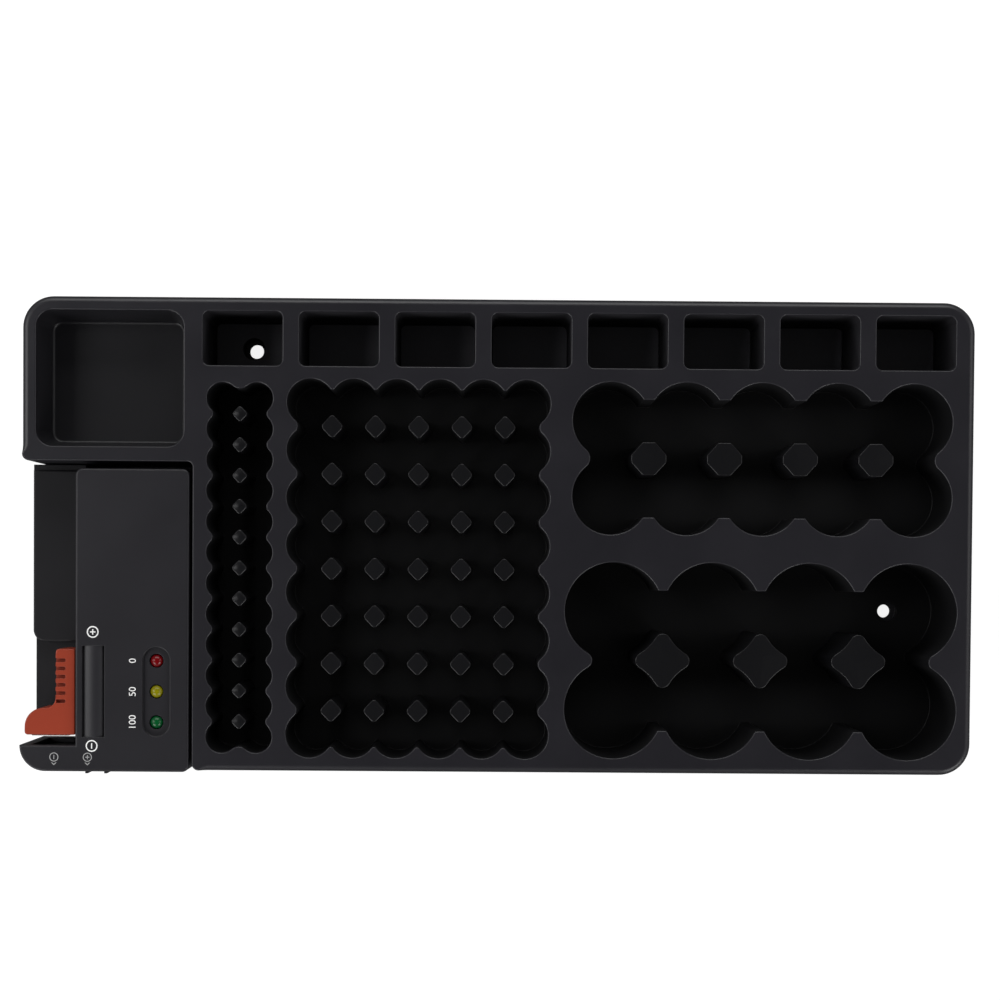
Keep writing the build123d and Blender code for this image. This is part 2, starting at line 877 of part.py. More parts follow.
# Tester's rear cover: the base plate with its rim, and the raised cradle for round cells
cradle_end = jaw_back + cradle_front_gap
with BuildPart() as rear_cover:
    with BuildSketch(Plane.XY.offset(tester_bottom)):
        add(block_outline(0, block_corner_radius))
        add(tester_outline(jaw_left, jaw_right, tester_front, jaw_back, jaw_corner_radius))
    extrude(amount=base_depth)
    with BuildSketch(Plane.XY.offset(tester_bottom + base_floor)):
        add(block_outline(case_wall, block_inner_radius))
        add(
            tester_outline(
                jaw_left + case_wall,
                jaw_right,
                tester_front + case_wall,
                jaw_back - case_wall,
                jaw_inner_radius,
            )
        )
    extrude(amount=base_depth - base_floor, mode=Mode.SUBTRACT)
    # Raised cradle, open underneath, lower at the end by the jaw
    add(block(cradle_left, block_left, cradle_end, tester_back, tester_bottom, recess_top))
    with BuildSketch(Plane.XY.offset(recess_top)):
        add(
            tester_outline(
                cradle_left, block_left, cradle_front, tester_back, cradle_corner_radius
            )
        )
    extrude(amount=cradle_top - recess_top)
    cradle_face = rear_cover.faces().sort_by(Axis.Z)[-1]
    cradle_edges = cradle_face.outer_wire().edges().sort_by(Axis.X)[:-1]
    fillet(cradle_edges, cradle_fillet)
    lip_top = cradle_top - cradle_lip_drop
    lip_back = tester_back + cradle_lip
    add(block(cradle_left, block_left, tester_back, lip_back, tester_bottom, lip_top))
    add(
        block(
            cradle_left + case_wall,
            block_left - case_wall,
            cradle_end + case_wall,
            tester_back - case_wall,
            tester_bottom,
            recess_top - case_wall,
        ),
        mode=Mode.SUBTRACT,
    )
    with BuildSketch(Plane.XY.offset(recess_top - case_wall)):
        add(
            tester_outline(
                cradle_left + case_wall,
                block_left - case_wall,
                cradle_front + case_wall,
                tester_back - case_wall,
                cradle_corner_radius - case_wall,
            )
        )
    extrude(amount=cradle_top - recess_top, mode=Mode.SUBTRACT)
    # Pillars that hold the circuit board up
    with BuildSketch(Plane.XY.offset(tester_bottom + base_floor)):
        with Locations((lamp_row_x, board_y)):
            with GridLocations(
                board_width - 2 * pillar_inset, board_length - 2 * pillar_inset, 2, 2
            ):
                Circle(pillar_diameter / 2)
    extrude(amount=board_bottom - tester_bottom - base_floor)
    # Sunk holes for the case screws
    for place_x, place_y in case_screw_places():
        add(
            round_bar(
                place_x,
                place_y,
                tester_bottom,
                split_plane,
                case_screw_shank + 2 * case_screw_clearance,
            ),
            mode=Mode.SUBTRACT,
        )
        add(
            round_bar(
                place_x,
                place_y,
                tester_bottom,
                tester_bottom + case_screw_head_height,
                case_screw_head + 2 * case_screw_clearance,
            ),
            mode=Mode.SUBTRACT,
        )

# Case screws, heads flush with the bottom
with BuildPart() as case_screws:
    for place_x, place_y in case_screw_places():
        head_top = tester_bottom + case_screw_head_height
        add(round_bar(place_x, place_y, tester_bottom, head_top, case_screw_head))
        add(
            round_bar(
                place_x, place_y, head_top, head_top + case_screw_length, case_screw_shank
            )
        )

# Crowned bar set into the face
with BuildPart() as crowned_bar:
    crown_radius = ((bar_width / 2) ** 2 + bar_crown**2) / (2 * bar_crown)
    bar_bottom = face_top - bar_recess_depth
    with BuildSketch(Plane.XZ.offset(-bar_y)):
        with BuildLine():
            Polyline(
                (bar_x - bar_width / 2, face_top - bar_crown),
                (bar_x - bar_width / 2, bar_bottom),
                (bar_x + bar_width / 2, bar_bottom),
                (bar_x + bar_width / 2, face_top - bar_crown),
            )
            ThreePointArc(
                (bar_x + bar_width / 2, face_top - bar_crown),
                (bar_x, face_top),
                (bar_x - bar_width / 2, face_top - bar_crown),
            )
        make_face()
    extrude(amount=bar_recess_length / 2, both=True)

# Circuit board with its lamps, resistors and chip
with BuildPart() as circuit_board:
    with BuildSketch(Plane.XY.offset(board_bottom)):
        with Locations((lamp_row_x, board_y)):
            Rectangle(board_width, board_length)
    extrude(amount=board_thickness)


def lamp(centre_y):
    # A round-topped lamp standing on the board
    with BuildPart() as body:
        add(round_bar(lamp_row_x, centre_y, board_top, board_top + lamp_flange_height, lamp_flange))
        add(round_bar(lamp_row_x, centre_y, board_top, lamp_top - lamp_diameter / 2, lamp_diameter))
        with Locations((lamp_row_x, centre_y, lamp_top - lamp_diameter / 2)):
            Sphere(lamp_diameter / 2)
    return body.part


with BuildPart() as green_lamp:
    add(lamp(lamp_row_y - lamp_pitch))

with BuildPart() as yellow_lamp:
    add(lamp(lamp_row_y))

with BuildPart() as red_lamp:
    add(lamp(lamp_row_y + lamp_pitch))

with BuildPart() as resistors:
    resistor_z = board_top + resistor_diameter / 2
    with BuildSketch(Plane.YZ.offset(lamp_row_x - resistor_length / 2)):
        for index in range(resistor_count):
            with Locations((first_resistor_y + index * resistor_pitch, resistor_z)):
                Circle(resistor_diameter / 2)
    extrude(amount=resistor_length)

with BuildPart() as level_chip:
    with BuildSketch(Plane.XY.offset(board_top)):
        with Locations((lamp_row_x, chip_y)):
            Rectangle(chip_width, chip_length)
    extrude(amount=chip_height)

# Fixed contact behind the jaw's window
with BuildPart() as fixed_contact:
    plate_back = jaw_back - case_wall
    add(
        block(
            window_mid - contact_width / 2 - contact_margin,
            window_mid + contact_width / 2 + contact_margin,
            plate_back - contact_thickness,
            plate_back,
            window_bottom - contact_margin,
            window_top,
        )
    )

# Strip that leads from the fixed contact to the underside of the board
with BuildPart() as contact_strip:
    strip_left = window_mid + contact_width / 2 + contact_margin
    add(
        block(
            strip_left,
            lamp_row_x,
            plate_back - contact_thickness,
            plate_back,
            board_bottom - strip_height,
            board_bottom,
        )
    )
    add(
        block(
            lamp_row_x - contact_thickness,
            lamp_row_x,
            plate_back,
            board_y - board_length / 2 + strip_height,
            board_bottom - strip_height,
            board_bottom,
        )
    )

# Snap contacts for a block cell, flush with the tester's front
with BuildPart() as snap_contacts:
    with BuildSketch(Plane.XZ.offset(-tester_front)):
        with Locations((snap_mid, snap_z)):
            with GridLocations(snap_spacing, snap_spacing, 2, 1):
                Circle(snap_diameter / 2 - snap_clearance)
    extrude(amount=-case_wall)
    with BuildSketch(Plane.XZ.offset(-tester_front - case_wall)):
        with Locations((snap_mid, snap_z)):
            with GridLocations(snap_spacing, snap_spacing, 2, 1):
                Circle(snap_flange / 2)
    extrude(amount=-snap_flange_thickness)

# Guide rod along the inside of the block, and the spring that pushes the slider forward
with BuildPart() as guide_rod:
    with BuildSketch(Plane.XZ.offset(-rod_front)):
        with Locations((rod_x, rod_z)):
            Circle(rod_diameter / 2)
    extrude(amount=-(rod_back - rod_front))

with BuildPart() as return_spring:
    with BuildSketch(Plane.XZ.offset(-spring_front)):
        with Locations((rod_x, rod_z)):
            Circle(spring_diameter / 2)
            Circle(spring_bore / 2, mode=Mode.SUBTRACT)
    extrude(amount=-(rod_back - spring_front))

# Strip on the inside of the block that the slider's wiper runs along
with BuildPart() as wiper_track:
    add(
        block(
            block_left + case_wall,
            block_left + case_wall + contact_thickness,
            rod_front,
            rod_back - block_inner_radius,
            track_bottom,
            track_bottom + strip_height,
        )
    )

# Slider: the grip and finger outside, a tongue through the slot, and a shoe on the rod
with BuildPart() as slider:
    with BuildSketch(Plane.XY.offset(slider_bottom)) as slider_plan:
        with BuildLine():
            Polyline(
                (slider_right, slider_front),
                (slider_right, slider_back),
                (slider_left, slider_back),
                (slider_left, finger_back),
                (finger_left, finger_back),
                (finger_left, slider_front),
                close=True,
            )
        make_face()
        root = slider_plan.vertices().sort_by_distance((slider_left, finger_back, slider_bottom))
        fillet(root[0], finger_root_radius)
        tip = slider_plan.vertices().sort_by_distance((finger_left, finger_back, slider_bottom))
        fillet(tip[0], finger_tip_radius)
        corner = slider_plan.vertices().sort_by_distance((finger_left, slider_front, slider_bottom))
        chamfer(corner[0], finger_corner_chamfer)
    extrude(amount=slider_height)
    top_edges = slider.faces().sort_by(Axis.Z)[-1].outer_wire().edges()
    chamfer(top_edges, slider_edge_chamfer)
    for index in range(grip_grooves):
        groove_y = slider_back - grip_back_margin - index * grip_pitch
        add(
            block(
                slider_left,
                slider_left + grip_length,
                groove_y - grip_width / 2,
                groove_y + grip_width / 2,
                slider_top - grip_depth,
                slider_top,
            ),
            mode=Mode.SUBTRACT,
        )
    add(
        block(
            slider_right,
            shoe_left,
            tongue_y - tongue_length / 2,
            tongue_y + tongue_length / 2,
            tongue_bottom,
            tongue_top,
        )
    )
    add(
        block(
            shoe_left,
            shoe_left + shoe_width,
            tongue_y - tongue_length / 2,
            tongue_y + tongue_length / 2,
            rod_z - shoe_height / 2,
            rod_z + shoe_height / 2,
        )
    )
    with BuildSketch(Plane.XZ.offset(-shoe_front)):
        with Locations((rod_x, rod_z)):
            Circle(rod_diameter / 2 + rod_clearance)
    extrude(amount=-tongue_length, mode=Mode.SUBTRACT)

# Contact plate on the finger's front face
with BuildPart() as slider_contact:
    add(
        block(
            window_mid - contact_width / 2,
            window_mid + contact_width / 2,
            slider_front - contact_thickness,
            slider_front,
            slider_bottom + contact_margin,
            slider_top - contact_margin - slider_edge_chamfer,
        )
    )

# Wiper under the shoe, a small gap away from its track
with BuildPart() as slider_wiper:
    add(
        block(
            track_face + wiper_gap,
            track_face + wiper_gap + contact_thickness,
            tongue_y - tongue_length / 2,
            tongue_y + tongue_length / 2,
            track_bottom,
            rod_z - shoe_height / 2,
        )
    )

pieces = {
    "tray_shell": tray_shell,
    "coin_well": coin_well,
    "nine_volt_pockets": nine_volt_pockets,
    "aaa_well": aaa_well,
    "aaa_ribs": aaa_ribs,
    "aaa_posts": aaa_posts,
    "aa_well": aa_well,
    "aa_ribs": aa_ribs,
    "aa_posts": aa_posts,
    "c_well": c_well,
    "c_ribs": c_ribs,
    "c_posts": c_posts,
    "d_well": d_well,
    "d_ribs": d_ribs,
    "d_posts": d_posts,
    "screw_bosses": screw_bosses,
    "tester_ledge": tester_ledge,
    "front_cover": front_cover,
    "rear_cover": rear_cover,
    "case_screws": case_screws,
    "crowned_bar": crowned_bar,
    "circuit_board": circuit_board,
    "green_lamp": green_lamp,
    "yellow_lamp": yellow_lamp,
    "red_lamp": red_lamp,
    "resistors": resistors,
    "level_chip": level_chip,
    "fixed_contact": fixed_contact,
    "contact_strip": contact_strip,
    "snap_contacts": snap_contacts,
    "guide_rod": guide_rod,
    "return_spring": return_spring,
    "wiper_track": wiper_track,
    "slider": slider,
    "slider_contact": slider_contact,
    "slider_wiper": slider_wiper,
}

os.makedirs("parts", exist_ok=True)
for name, piece in pieces.items():
    piece.part.label = name
    export_step(piece.part, f"parts/{name}.step")
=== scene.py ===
import bpy
import math
from mathutils import Matrix, Vector
from mathutils.geometry import delaunay_2d_cdt


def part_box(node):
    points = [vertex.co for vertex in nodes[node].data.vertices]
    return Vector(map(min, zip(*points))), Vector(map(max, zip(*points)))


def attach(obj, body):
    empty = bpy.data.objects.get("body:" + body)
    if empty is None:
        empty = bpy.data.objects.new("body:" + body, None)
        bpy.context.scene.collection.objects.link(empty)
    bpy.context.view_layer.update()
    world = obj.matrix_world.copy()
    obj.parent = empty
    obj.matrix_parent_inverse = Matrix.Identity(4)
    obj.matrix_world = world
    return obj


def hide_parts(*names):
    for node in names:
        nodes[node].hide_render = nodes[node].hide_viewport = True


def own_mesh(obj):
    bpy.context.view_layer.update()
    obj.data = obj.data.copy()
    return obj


# Battery case with a lift-out tester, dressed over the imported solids.
# Lengths below are millimetres and turn into metres when a mesh is made.
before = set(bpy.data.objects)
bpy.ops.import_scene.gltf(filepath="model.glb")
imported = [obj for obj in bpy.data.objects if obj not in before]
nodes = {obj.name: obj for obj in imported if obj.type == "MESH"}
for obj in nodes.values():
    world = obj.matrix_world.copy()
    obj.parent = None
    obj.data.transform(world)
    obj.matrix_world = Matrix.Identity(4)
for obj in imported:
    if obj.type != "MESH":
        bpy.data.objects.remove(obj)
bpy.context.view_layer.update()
toMetres = 0.001
print("frame loaded:", len(nodes), "solids")


def boxOf(name):
    # a node's lowest and highest corners at rest, in millimetres
    return [[value / toMetres for value in corner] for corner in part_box(name)]


def middleOf(name):
    low, high = boxOf(name)
    return [(a + b) / 2 for a, b in zip(low, high)]


# small tools for meshes
def newShape():
    return {"points": [], "normals": [], "faces": [], "finishes": {}}


def finishFrom(shape, firstFace, finish):
    # faces made since firstFace take another of the piece's materials
    for index in range(firstFace, len(shape["faces"])):
        shape["finishes"][shape["faces"][index]] = finish


def addPoint(shape, place, normal):
    shape["points"].append(place)
    shape["normals"].append(normal)
    return len(shape["points"]) - 1


def addRing(shape, loop, inset, height, outward, upward):
    # one ring at a distance inside (minus) or outside (plus) a loop; inset may be a list
    ring = []
    for place, (x, y, nx, ny) in enumerate(loop):
        step = inset[place] if isinstance(inset, list) else inset
        z = height[place] if isinstance(height, list) else height
        ring.append(
            addPoint(shape, (x + nx * step, y + ny * step, z), (nx * outward, ny * outward, upward))
        )
    return ring


def joinRings(shape, ringA, ringB):
    count = len(ringA)
    for place in range(count):
        after = (place + 1) % count
        shape["faces"].append((ringA[place], ringA[after], ringB[after], ringB[place]))


def sweepRings(shape, loop, steps):
    # steps are (inset, height, outward, upward); rings that follow each other are joined
    rings = [addRing(shape, loop, *step) for step in steps]
    for ringA, ringB in zip(rings, rings[1:]):
        joinRings(shape, ringA, ringB)
    return rings


def fillFlat(shape, outerRing, holeRings):
    # a flat face with holes between rings that are already there
    flat, owners, faces = [], [], []
    for ring in [outerRing, *holeRings]:
        faces.append(list(range(len(flat), len(flat) + len(ring))))
        for index in ring:
            flat.append(Vector(shape["points"][index][:2]))
            owners.append(index)
    made = delaunay_2d_cdt(flat, [], faces, 1, 1e-5, True)
    for face, inside in zip(made[2], made[5]):
        if list(inside) == [0]:
            shape["faces"].append(tuple(owners[made[3][corner][0]] for corner in face))


def addDisc(shape, ring, centre, normal):
    # a fan from a ring to one middle point
    middle = addPoint(shape, centre, normal)
    for place in range(len(ring)):
        shape["faces"].append((ring[place], ring[(place + 1) % len(ring)], middle))


def placed(shape, change):
    # the same shape with its points and normals changed by a 4x4
    turn = change.to_3x3()
    return {
        "points": [tuple(change @ Vector(p)) for p in shape["points"]],
        "normals": [tuple(turn @ Vector(n)) for n in shape["normals"]],
        "faces": list(shape["faces"]),
        "finishes": dict(shape["finishes"]),
    }


def joinShape(shape, other):
    start = len(shape["points"])
    shape["points"] += other["points"]
    shape["normals"] += other["normals"]
    for face in other["faces"]:
        shape["faces"].append(tuple(i + start for i in face))
        if face in other["finishes"]:
            shape["finishes"][shape["faces"][-1]] = other["finishes"][face]


def makePiece(name, shape, finishNames, body, replaced=()):
    mesh = bpy.data.meshes.new(name)
    points = [Vector(p) * toMetres for p in shape["points"]]
    normals = [Vector(n).normalized() for n in shape["normals"]]
    faces, finishes = [], []
    for face in shape["faces"]:
        a, b, c = (points[i] for i in face[:3])
        facing = (b - a).cross(c - a)
        if len(face) == 4:
            facing += (c - a).cross(points[face[3]] - a)
        wanted = sum((normals[i] for i in face), Vector())
        if facing.length > 1e-13:
            faces.append(face if facing.dot(wanted) >= 0 else tuple(reversed(face)))
            finishes.append(shape["finishes"].get(face, 0))
    mesh.from_pydata(points, [], faces)
    for finishName in finishNames:
        mesh.materials.append(materials[finishName])
    for polygon, finish in zip(mesh.polygons, finishes):
        polygon.use_smooth = True
        polygon.material_index = finish
    mesh.normals_split_custom_set_from_vertices(normals)
    piece = bpy.data.objects.new(name, mesh)
    bpy.context.scene.collection.objects.link(piece)
    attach(piece, body)
    if replaced:
        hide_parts(*replaced)
    print("piece", name, len(mesh.polygons), "faces")
    return piece


def arcPoints(centreX, centreY, radius, start, end, step, side):
    # side +1: normals point away from the centre, -1: towards it
    count = max(2, math.ceil(abs(end - start) / step) + 1)
    points = []
    for place in range(count):
        angle = start + (end - start) * place / (count - 1)
        c, s = math.cos(angle), math.sin(angle)
        points.append((centreX + radius * c, centreY + radius * s, c * side, s * side))
    return points


def roundedLoop(corners, step=math.radians(9)):
    # corners (x, y, radius) run anticlockwise; normals point out of the shape
    loop = []
    count = len(corners)
    for place in range(count):
        x, y, radius = corners[place][:3]
        before, after = corners[place - 1], corners[(place + 1) % count]
        inWay = Vector((x - before[0], y - before[1])).normalized()
        outWay = Vector((after[0] - x, after[1] - y)).normalized()
        turn = math.atan2(inWay.cross(outWay), inWay.dot(outWay))
        reach = radius * math.tan(abs(turn) / 2)
        sign = 1 if turn > 0 else -1
        side = Vector((-inWay.y, inWay.x)) * sign
        centre = Vector((x, y)) - inWay * reach + side * radius
        start = math.atan2(-side.y, -side.x)
        loop += arcPoints(centre.x, centre.y, radius, start, start + turn, step, sign)
    return loop


def rectangleLoop(centreX, centreY, length, width, radius):
    x, y = length / 2, width / 2
    return roundedLoop([
        (centreX - x, centreY - y, radius), (centreX + x, centreY - y, radius),
        (centreX + x, centreY + y, radius), (centreX - x, centreY + y, radius),
    ])


def circleLoop(centreX, centreY, radius, count=32):
    step = 2 * math.pi / count
    return arcPoints(centreX, centreY, radius, 0, 2 * math.pi - step, step * 0.999, 1)[:count]


def inward(loop):
    return [(x, y, -nx, -ny) for x, y, nx, ny in loop]


def quarter(steps):
    return [math.pi / 2 * place / steps for place in range(steps + 1)]


# materials
def newGroup(name, inputs, outputs):
    group = bpy.data.node_groups.new(name, "ShaderNodeTree")
    for kind, socketName, value in inputs:
        socket = group.interface.new_socket(socketName, in_out="INPUT", socket_type=kind)
        if value is not None:
            socket.default_value = value
    for kind, socketName in outputs:
        group.interface.new_socket(socketName, in_out="OUTPUT", socket_type=kind)
    entry, leave = group.nodes.new("NodeGroupInput"), group.nodes.new("NodeGroupOutput")
    entry.location, leave.location = (-900, 0), (700, 0)
    return group, entry, leave


def addNode(tree, kind, x, y, **settings):
    node = tree.nodes.new(kind)
    node.location = (x, y)
    for setting, value in settings.items():
        setattr(node, setting, value)
    return node


def mathNode(tree, operation, values, x, y, clamp=False):
    # values are numbers or sockets, in the node's own order
    node = addNode(tree, "ShaderNodeMath", x, y, operation=operation, use_clamp=clamp)
    for place, value in enumerate(values):
        if isinstance(value, float):
            node.inputs[place].default_value = value
        else:
            tree.links.new(value, node.inputs[place])
    return node.outputs[0]


def noiseNode(tree, position, scale, detail, x, y):
    node = addNode(tree, "ShaderNodeTexNoise", x, y)
    node.inputs["Detail"].default_value = detail
    if isinstance(scale, float):
        node.inputs["Scale"].default_value = scale
    else:
        tree.links.new(scale, node.inputs["Scale"])
    tree.links.new(position, node.inputs["Vector"])
    return node


colourKind, numberKind, vectorKind = "NodeSocketColor", "NodeSocketFloat", "NodeSocketVector"


def buildMouldedSkin():
    # moulded plastic: slow mottling, fine spark-eroded grain, uneven sheen
    group, entry, leave = newGroup(
        "mouldedSkin",
        [(vectorKind, "Position", None), (colourKind, "Plastic", (0.02, 0.02, 0.02, 1)),
         (numberKind, "Mottle", 0.1), (numberKind, "Grain Size", 1900.0),
         (numberKind, "Roughness", 0.4), (numberKind, "Sheen Spread", 0.05)],
        [(colourKind, "Color"), (numberKind, "Roughness"), (numberKind, "Height")],
    )
    link, given = group.links.new, entry.outputs
    slow = noiseNode(group, given["Position"], 38.0, 4.0, -600, 260)
    fine = noiseNode(group, given["Position"], given["Grain Size"], 3.0, -600, -40)
    fine.inputs["Roughness"].default_value = 0.6
    pits = addNode(group, "ShaderNodeTexVoronoi", -600, -330)
    link(given["Position"], pits.inputs["Vector"])
    pitSize = mathNode(group, "MULTIPLY", (given["Grain Size"], 0.45), -780, -330)
    link(pitSize, pits.inputs["Scale"])
    centred = mathNode(group, "SUBTRACT", (slow.outputs["Fac"], 0.5), -380, 260)
    fineCentred = mathNode(group, "SUBTRACT", (fine.outputs["Fac"], 0.5), -380, 60)
    both = mathNode(group, "MULTIPLY_ADD", (fineCentred, 0.6, centred), -200, 160)
    stronger = mathNode(group, "MULTIPLY", (given["Mottle"], 4.0), -200, 360)
    strength = mathNode(group, "MULTIPLY_ADD", (both, stronger, 1.0), -20, 200)
    tint = addNode(group, "ShaderNodeVectorMath", 180, 240, operation="SCALE")
    link(given["Plastic"], tint.inputs[0])
    link(strength, tint.inputs["Scale"])
    link(tint.outputs[0], leave.inputs["Color"])
    sheen = (both, given["Sheen Spread"], given["Roughness"])
    link(mathNode(group, "MULTIPLY_ADD", sheen, 180, -20), leave.inputs["Roughness"])
    grain = (pits.outputs["Distance"], 0.5, fine.outputs["Fac"])
    link(mathNode(group, "MULTIPLY_ADD", grain, -200, -200), leave.inputs["Height"])
    return group


def buildEdgeRub():
    # rubbed edges: a mask from how far the bevelled normal leaves the true one
    group, entry, leave = newGroup(
        "edgeRub",
        [(vectorKind, "Position", None), (numberKind, "Width", 0.0005), (numberKind, "Amount", 0.5)],
        [(numberKind, "Mask"), (vectorKind, "Normal")],
    )
    link, given = group.links.new, entry.outputs
    bevel = addNode(group, "ShaderNodeBevel", -600, 80, samples=6)
    link(given["Width"], bevel.inputs["Radius"])
    surface = addNode(group, "ShaderNodeNewGeometry", -600, -120)
    dot = addNode(group, "ShaderNodeVectorMath", -400, 0, operation="DOT_PRODUCT")
    link(bevel.outputs["Normal"], dot.inputs[0])
    link(surface.outputs["Normal"], dot.inputs[1])
    drop = mathNode(group, "SUBTRACT", (1.0, dot.outputs["Value"]), -220, 0)
    patchy = noiseNode(group, given["Position"], 420.0, 3.0, -400, -260)
    worn = mathNode(group, "MULTIPLY", (drop, patchy.outputs["Fac"]), -40, -60)
    level = mathNode(group, "MULTIPLY", (worn, given["Amount"]), 140, -60, clamp=True)
    link(level, leave.inputs["Mask"])
    link(bevel.outputs["Normal"], leave.inputs["Normal"])
    return group


mouldedSkin = buildMouldedSkin()
edgeRub = buildEdgeRub()


def newMaterial(name):
    material = bpy.data.materials.new(name)
    material.use_nodes = True
    material.node_tree.nodes.clear()
    tree = material.node_tree
    out = addNode(tree, "ShaderNodeOutputMaterial", 700, 0)
    shader = addNode(tree, "ShaderNodeBsdfPrincipled", 400, 0)
    tree.links.new(shader.outputs[0], out.inputs["Surface"])
    position = addNode(tree, "ShaderNodeTexCoord", -900, 0)
    return material, tree, shader, position.outputs["Object"]


def setAll(sockets, values):
    for name, value in values.items():
        sockets[name].default_value = value


plasticUsual = dict(mottle=0.10, grainSize=1500.0, roughness=0.40, sheenSpread=0.10,
                    grainStrength=0.25, grainDepth=0.00003, shine=0.5, edgeWear=0.5,
                    wornColour=(0.04, 0.04, 0.045), edgeWidth=None)


def plasticMaterial(name, look):
    look = plasticUsual | look
    material, tree, shader, position = newMaterial(name)
    link = tree.links.new
    skin = addNode(tree, "ShaderNodeGroup", -500, 60, node_tree=mouldedSkin)
    link(position, skin.inputs["Position"])
    setAll(skin.inputs, {"Plastic": (*look["colour"], 1), "Mottle": look["mottle"],
                         "Grain Size": look["grainSize"], "Roughness": look["roughness"],
                         "Sheen Spread": look["sheenSpread"]})
    bump = addNode(tree, "ShaderNodeBump", 120, -260)
    setAll(bump.inputs, {"Strength": look["grainStrength"], "Distance": look["grainDepth"]})
    link(skin.outputs["Height"], bump.inputs["Height"])
    colour = skin.outputs["Color"]
    if look["edgeWidth"]:
        rub = addNode(tree, "ShaderNodeGroup", -500, -300, node_tree=edgeRub)
        link(position, rub.inputs["Position"])
        setAll(rub.inputs, {"Width": look["edgeWidth"] * toMetres, "Amount": look["edgeWear"]})
        link(rub.outputs["Normal"], bump.inputs["Normal"])
        worn = addNode(tree, "ShaderNodeMix", 60, 120, data_type="RGBA")
        link(rub.outputs["Mask"], worn.inputs["Factor"])
        link(colour, worn.inputs[6])
        worn.inputs[7].default_value = (*look["wornColour"], 1)
        colour = worn.outputs[2]
    link(colour, shader.inputs["Base Color"])
    link(skin.outputs["Roughness"], shader.inputs["Roughness"])
    link(bump.outputs[0], shader.inputs["Normal"])
    setAll(shader.inputs, {"IOR": 1.48, "Specular IOR Level": look["shine"]})
    return material


metalGrain = {"scale": 900.0, "detail": 4.0, "smoother": 0.08, "rougher": 0.1,
              "bump": 0.25, "depth": 0.00002}


def metalMaterial(name, look):
    # drawn or pressed metal: streaks along the brushing
    material, tree, shader, position = newMaterial(name)
    link = tree.links.new
    stretch = addNode(tree, "ShaderNodeMapping", -720, -60)
    stretch.inputs["Scale"].default_value = look["brush"]
    link(position, stretch.inputs["Vector"])
    streaks = noiseNode(tree, stretch.outputs[0], metalGrain["scale"], metalGrain["detail"],
                        -520, -60).outputs["Fac"]
    blend = addNode(tree, "ShaderNodeMix", -200, 140, data_type="RGBA")
    blend.inputs[6].default_value = (*look["dull"], 1)
    blend.inputs[7].default_value = (*look["bright"], 1)
    link(streaks, blend.inputs["Factor"])
    link(blend.outputs[2], shader.inputs["Base Color"])
    rough = addNode(tree, "ShaderNodeMapRange", -200, -100)
    setAll(rough.inputs, {"To Min": look["roughness"] - metalGrain["smoother"],
                          "To Max": look["roughness"] + metalGrain["rougher"]})
    link(streaks, rough.inputs["Value"])
    link(rough.outputs[0], shader.inputs["Roughness"])
    bump = addNode(tree, "ShaderNodeBump", 120, -260)
    setAll(bump.inputs, {"Strength": metalGrain["bump"], "Distance": metalGrain["depth"]})
    link(streaks, bump.inputs["Height"])
    link(bump.outputs[0], shader.inputs["Normal"])
    shader.inputs["Metallic"].default_value = 1.0
    return material


lensGrain = {"scale": 700.0, "cloud": 0.25, "rimBlend": 0.42, "smooth": 0.14, "rough": 0.22,
             "shine": 0.25, "clear": 0.04}


def lensMaterial(name, look):
    # tinted epoxy: deeper tint at the rim; the lighter colour where the dome faces the camera is
    # painted light for the glow from inside the lamp
    material, tree, shader, position = newMaterial(name)
    link = tree.links.new
    facing = addNode(tree, "ShaderNodeLayerWeight", -700, 200)
    facing.inputs["Blend"].default_value = lensGrain["rimBlend"]
    cloud = noiseNode(tree, position, lensGrain["scale"], 2.0, -700, -60).outputs["Fac"]
    deeper = mathNode(tree, "MULTIPLY_ADD", (cloud, lensGrain["cloud"], facing.outputs["Facing"]),
                      -460, 120, clamp=True)
    blend = addNode(tree, "ShaderNodeMix", -200, 140, data_type="RGBA")
    blend.inputs[6].default_value = (*look["paintedGlowCore"], 1)
    blend.inputs[7].default_value = (*look["rim"], 1)
    link(deeper, blend.inputs["Factor"])
    link(blend.outputs[2], shader.inputs["Base Color"])
    rough = addNode(tree, "ShaderNodeMapRange", -200, -120)
    setAll(rough.inputs, {"To Min": lensGrain["smooth"], "To Max": lensGrain["rough"]})
    link(cloud, rough.inputs["Value"])
    link(rough.outputs[0], shader.inputs["Roughness"])
    setAll(shader.inputs, {"Transmission Weight": lensGrain["clear"], "IOR": 1.5,
                           "Specular IOR Level": lensGrain["shine"]})
    return material


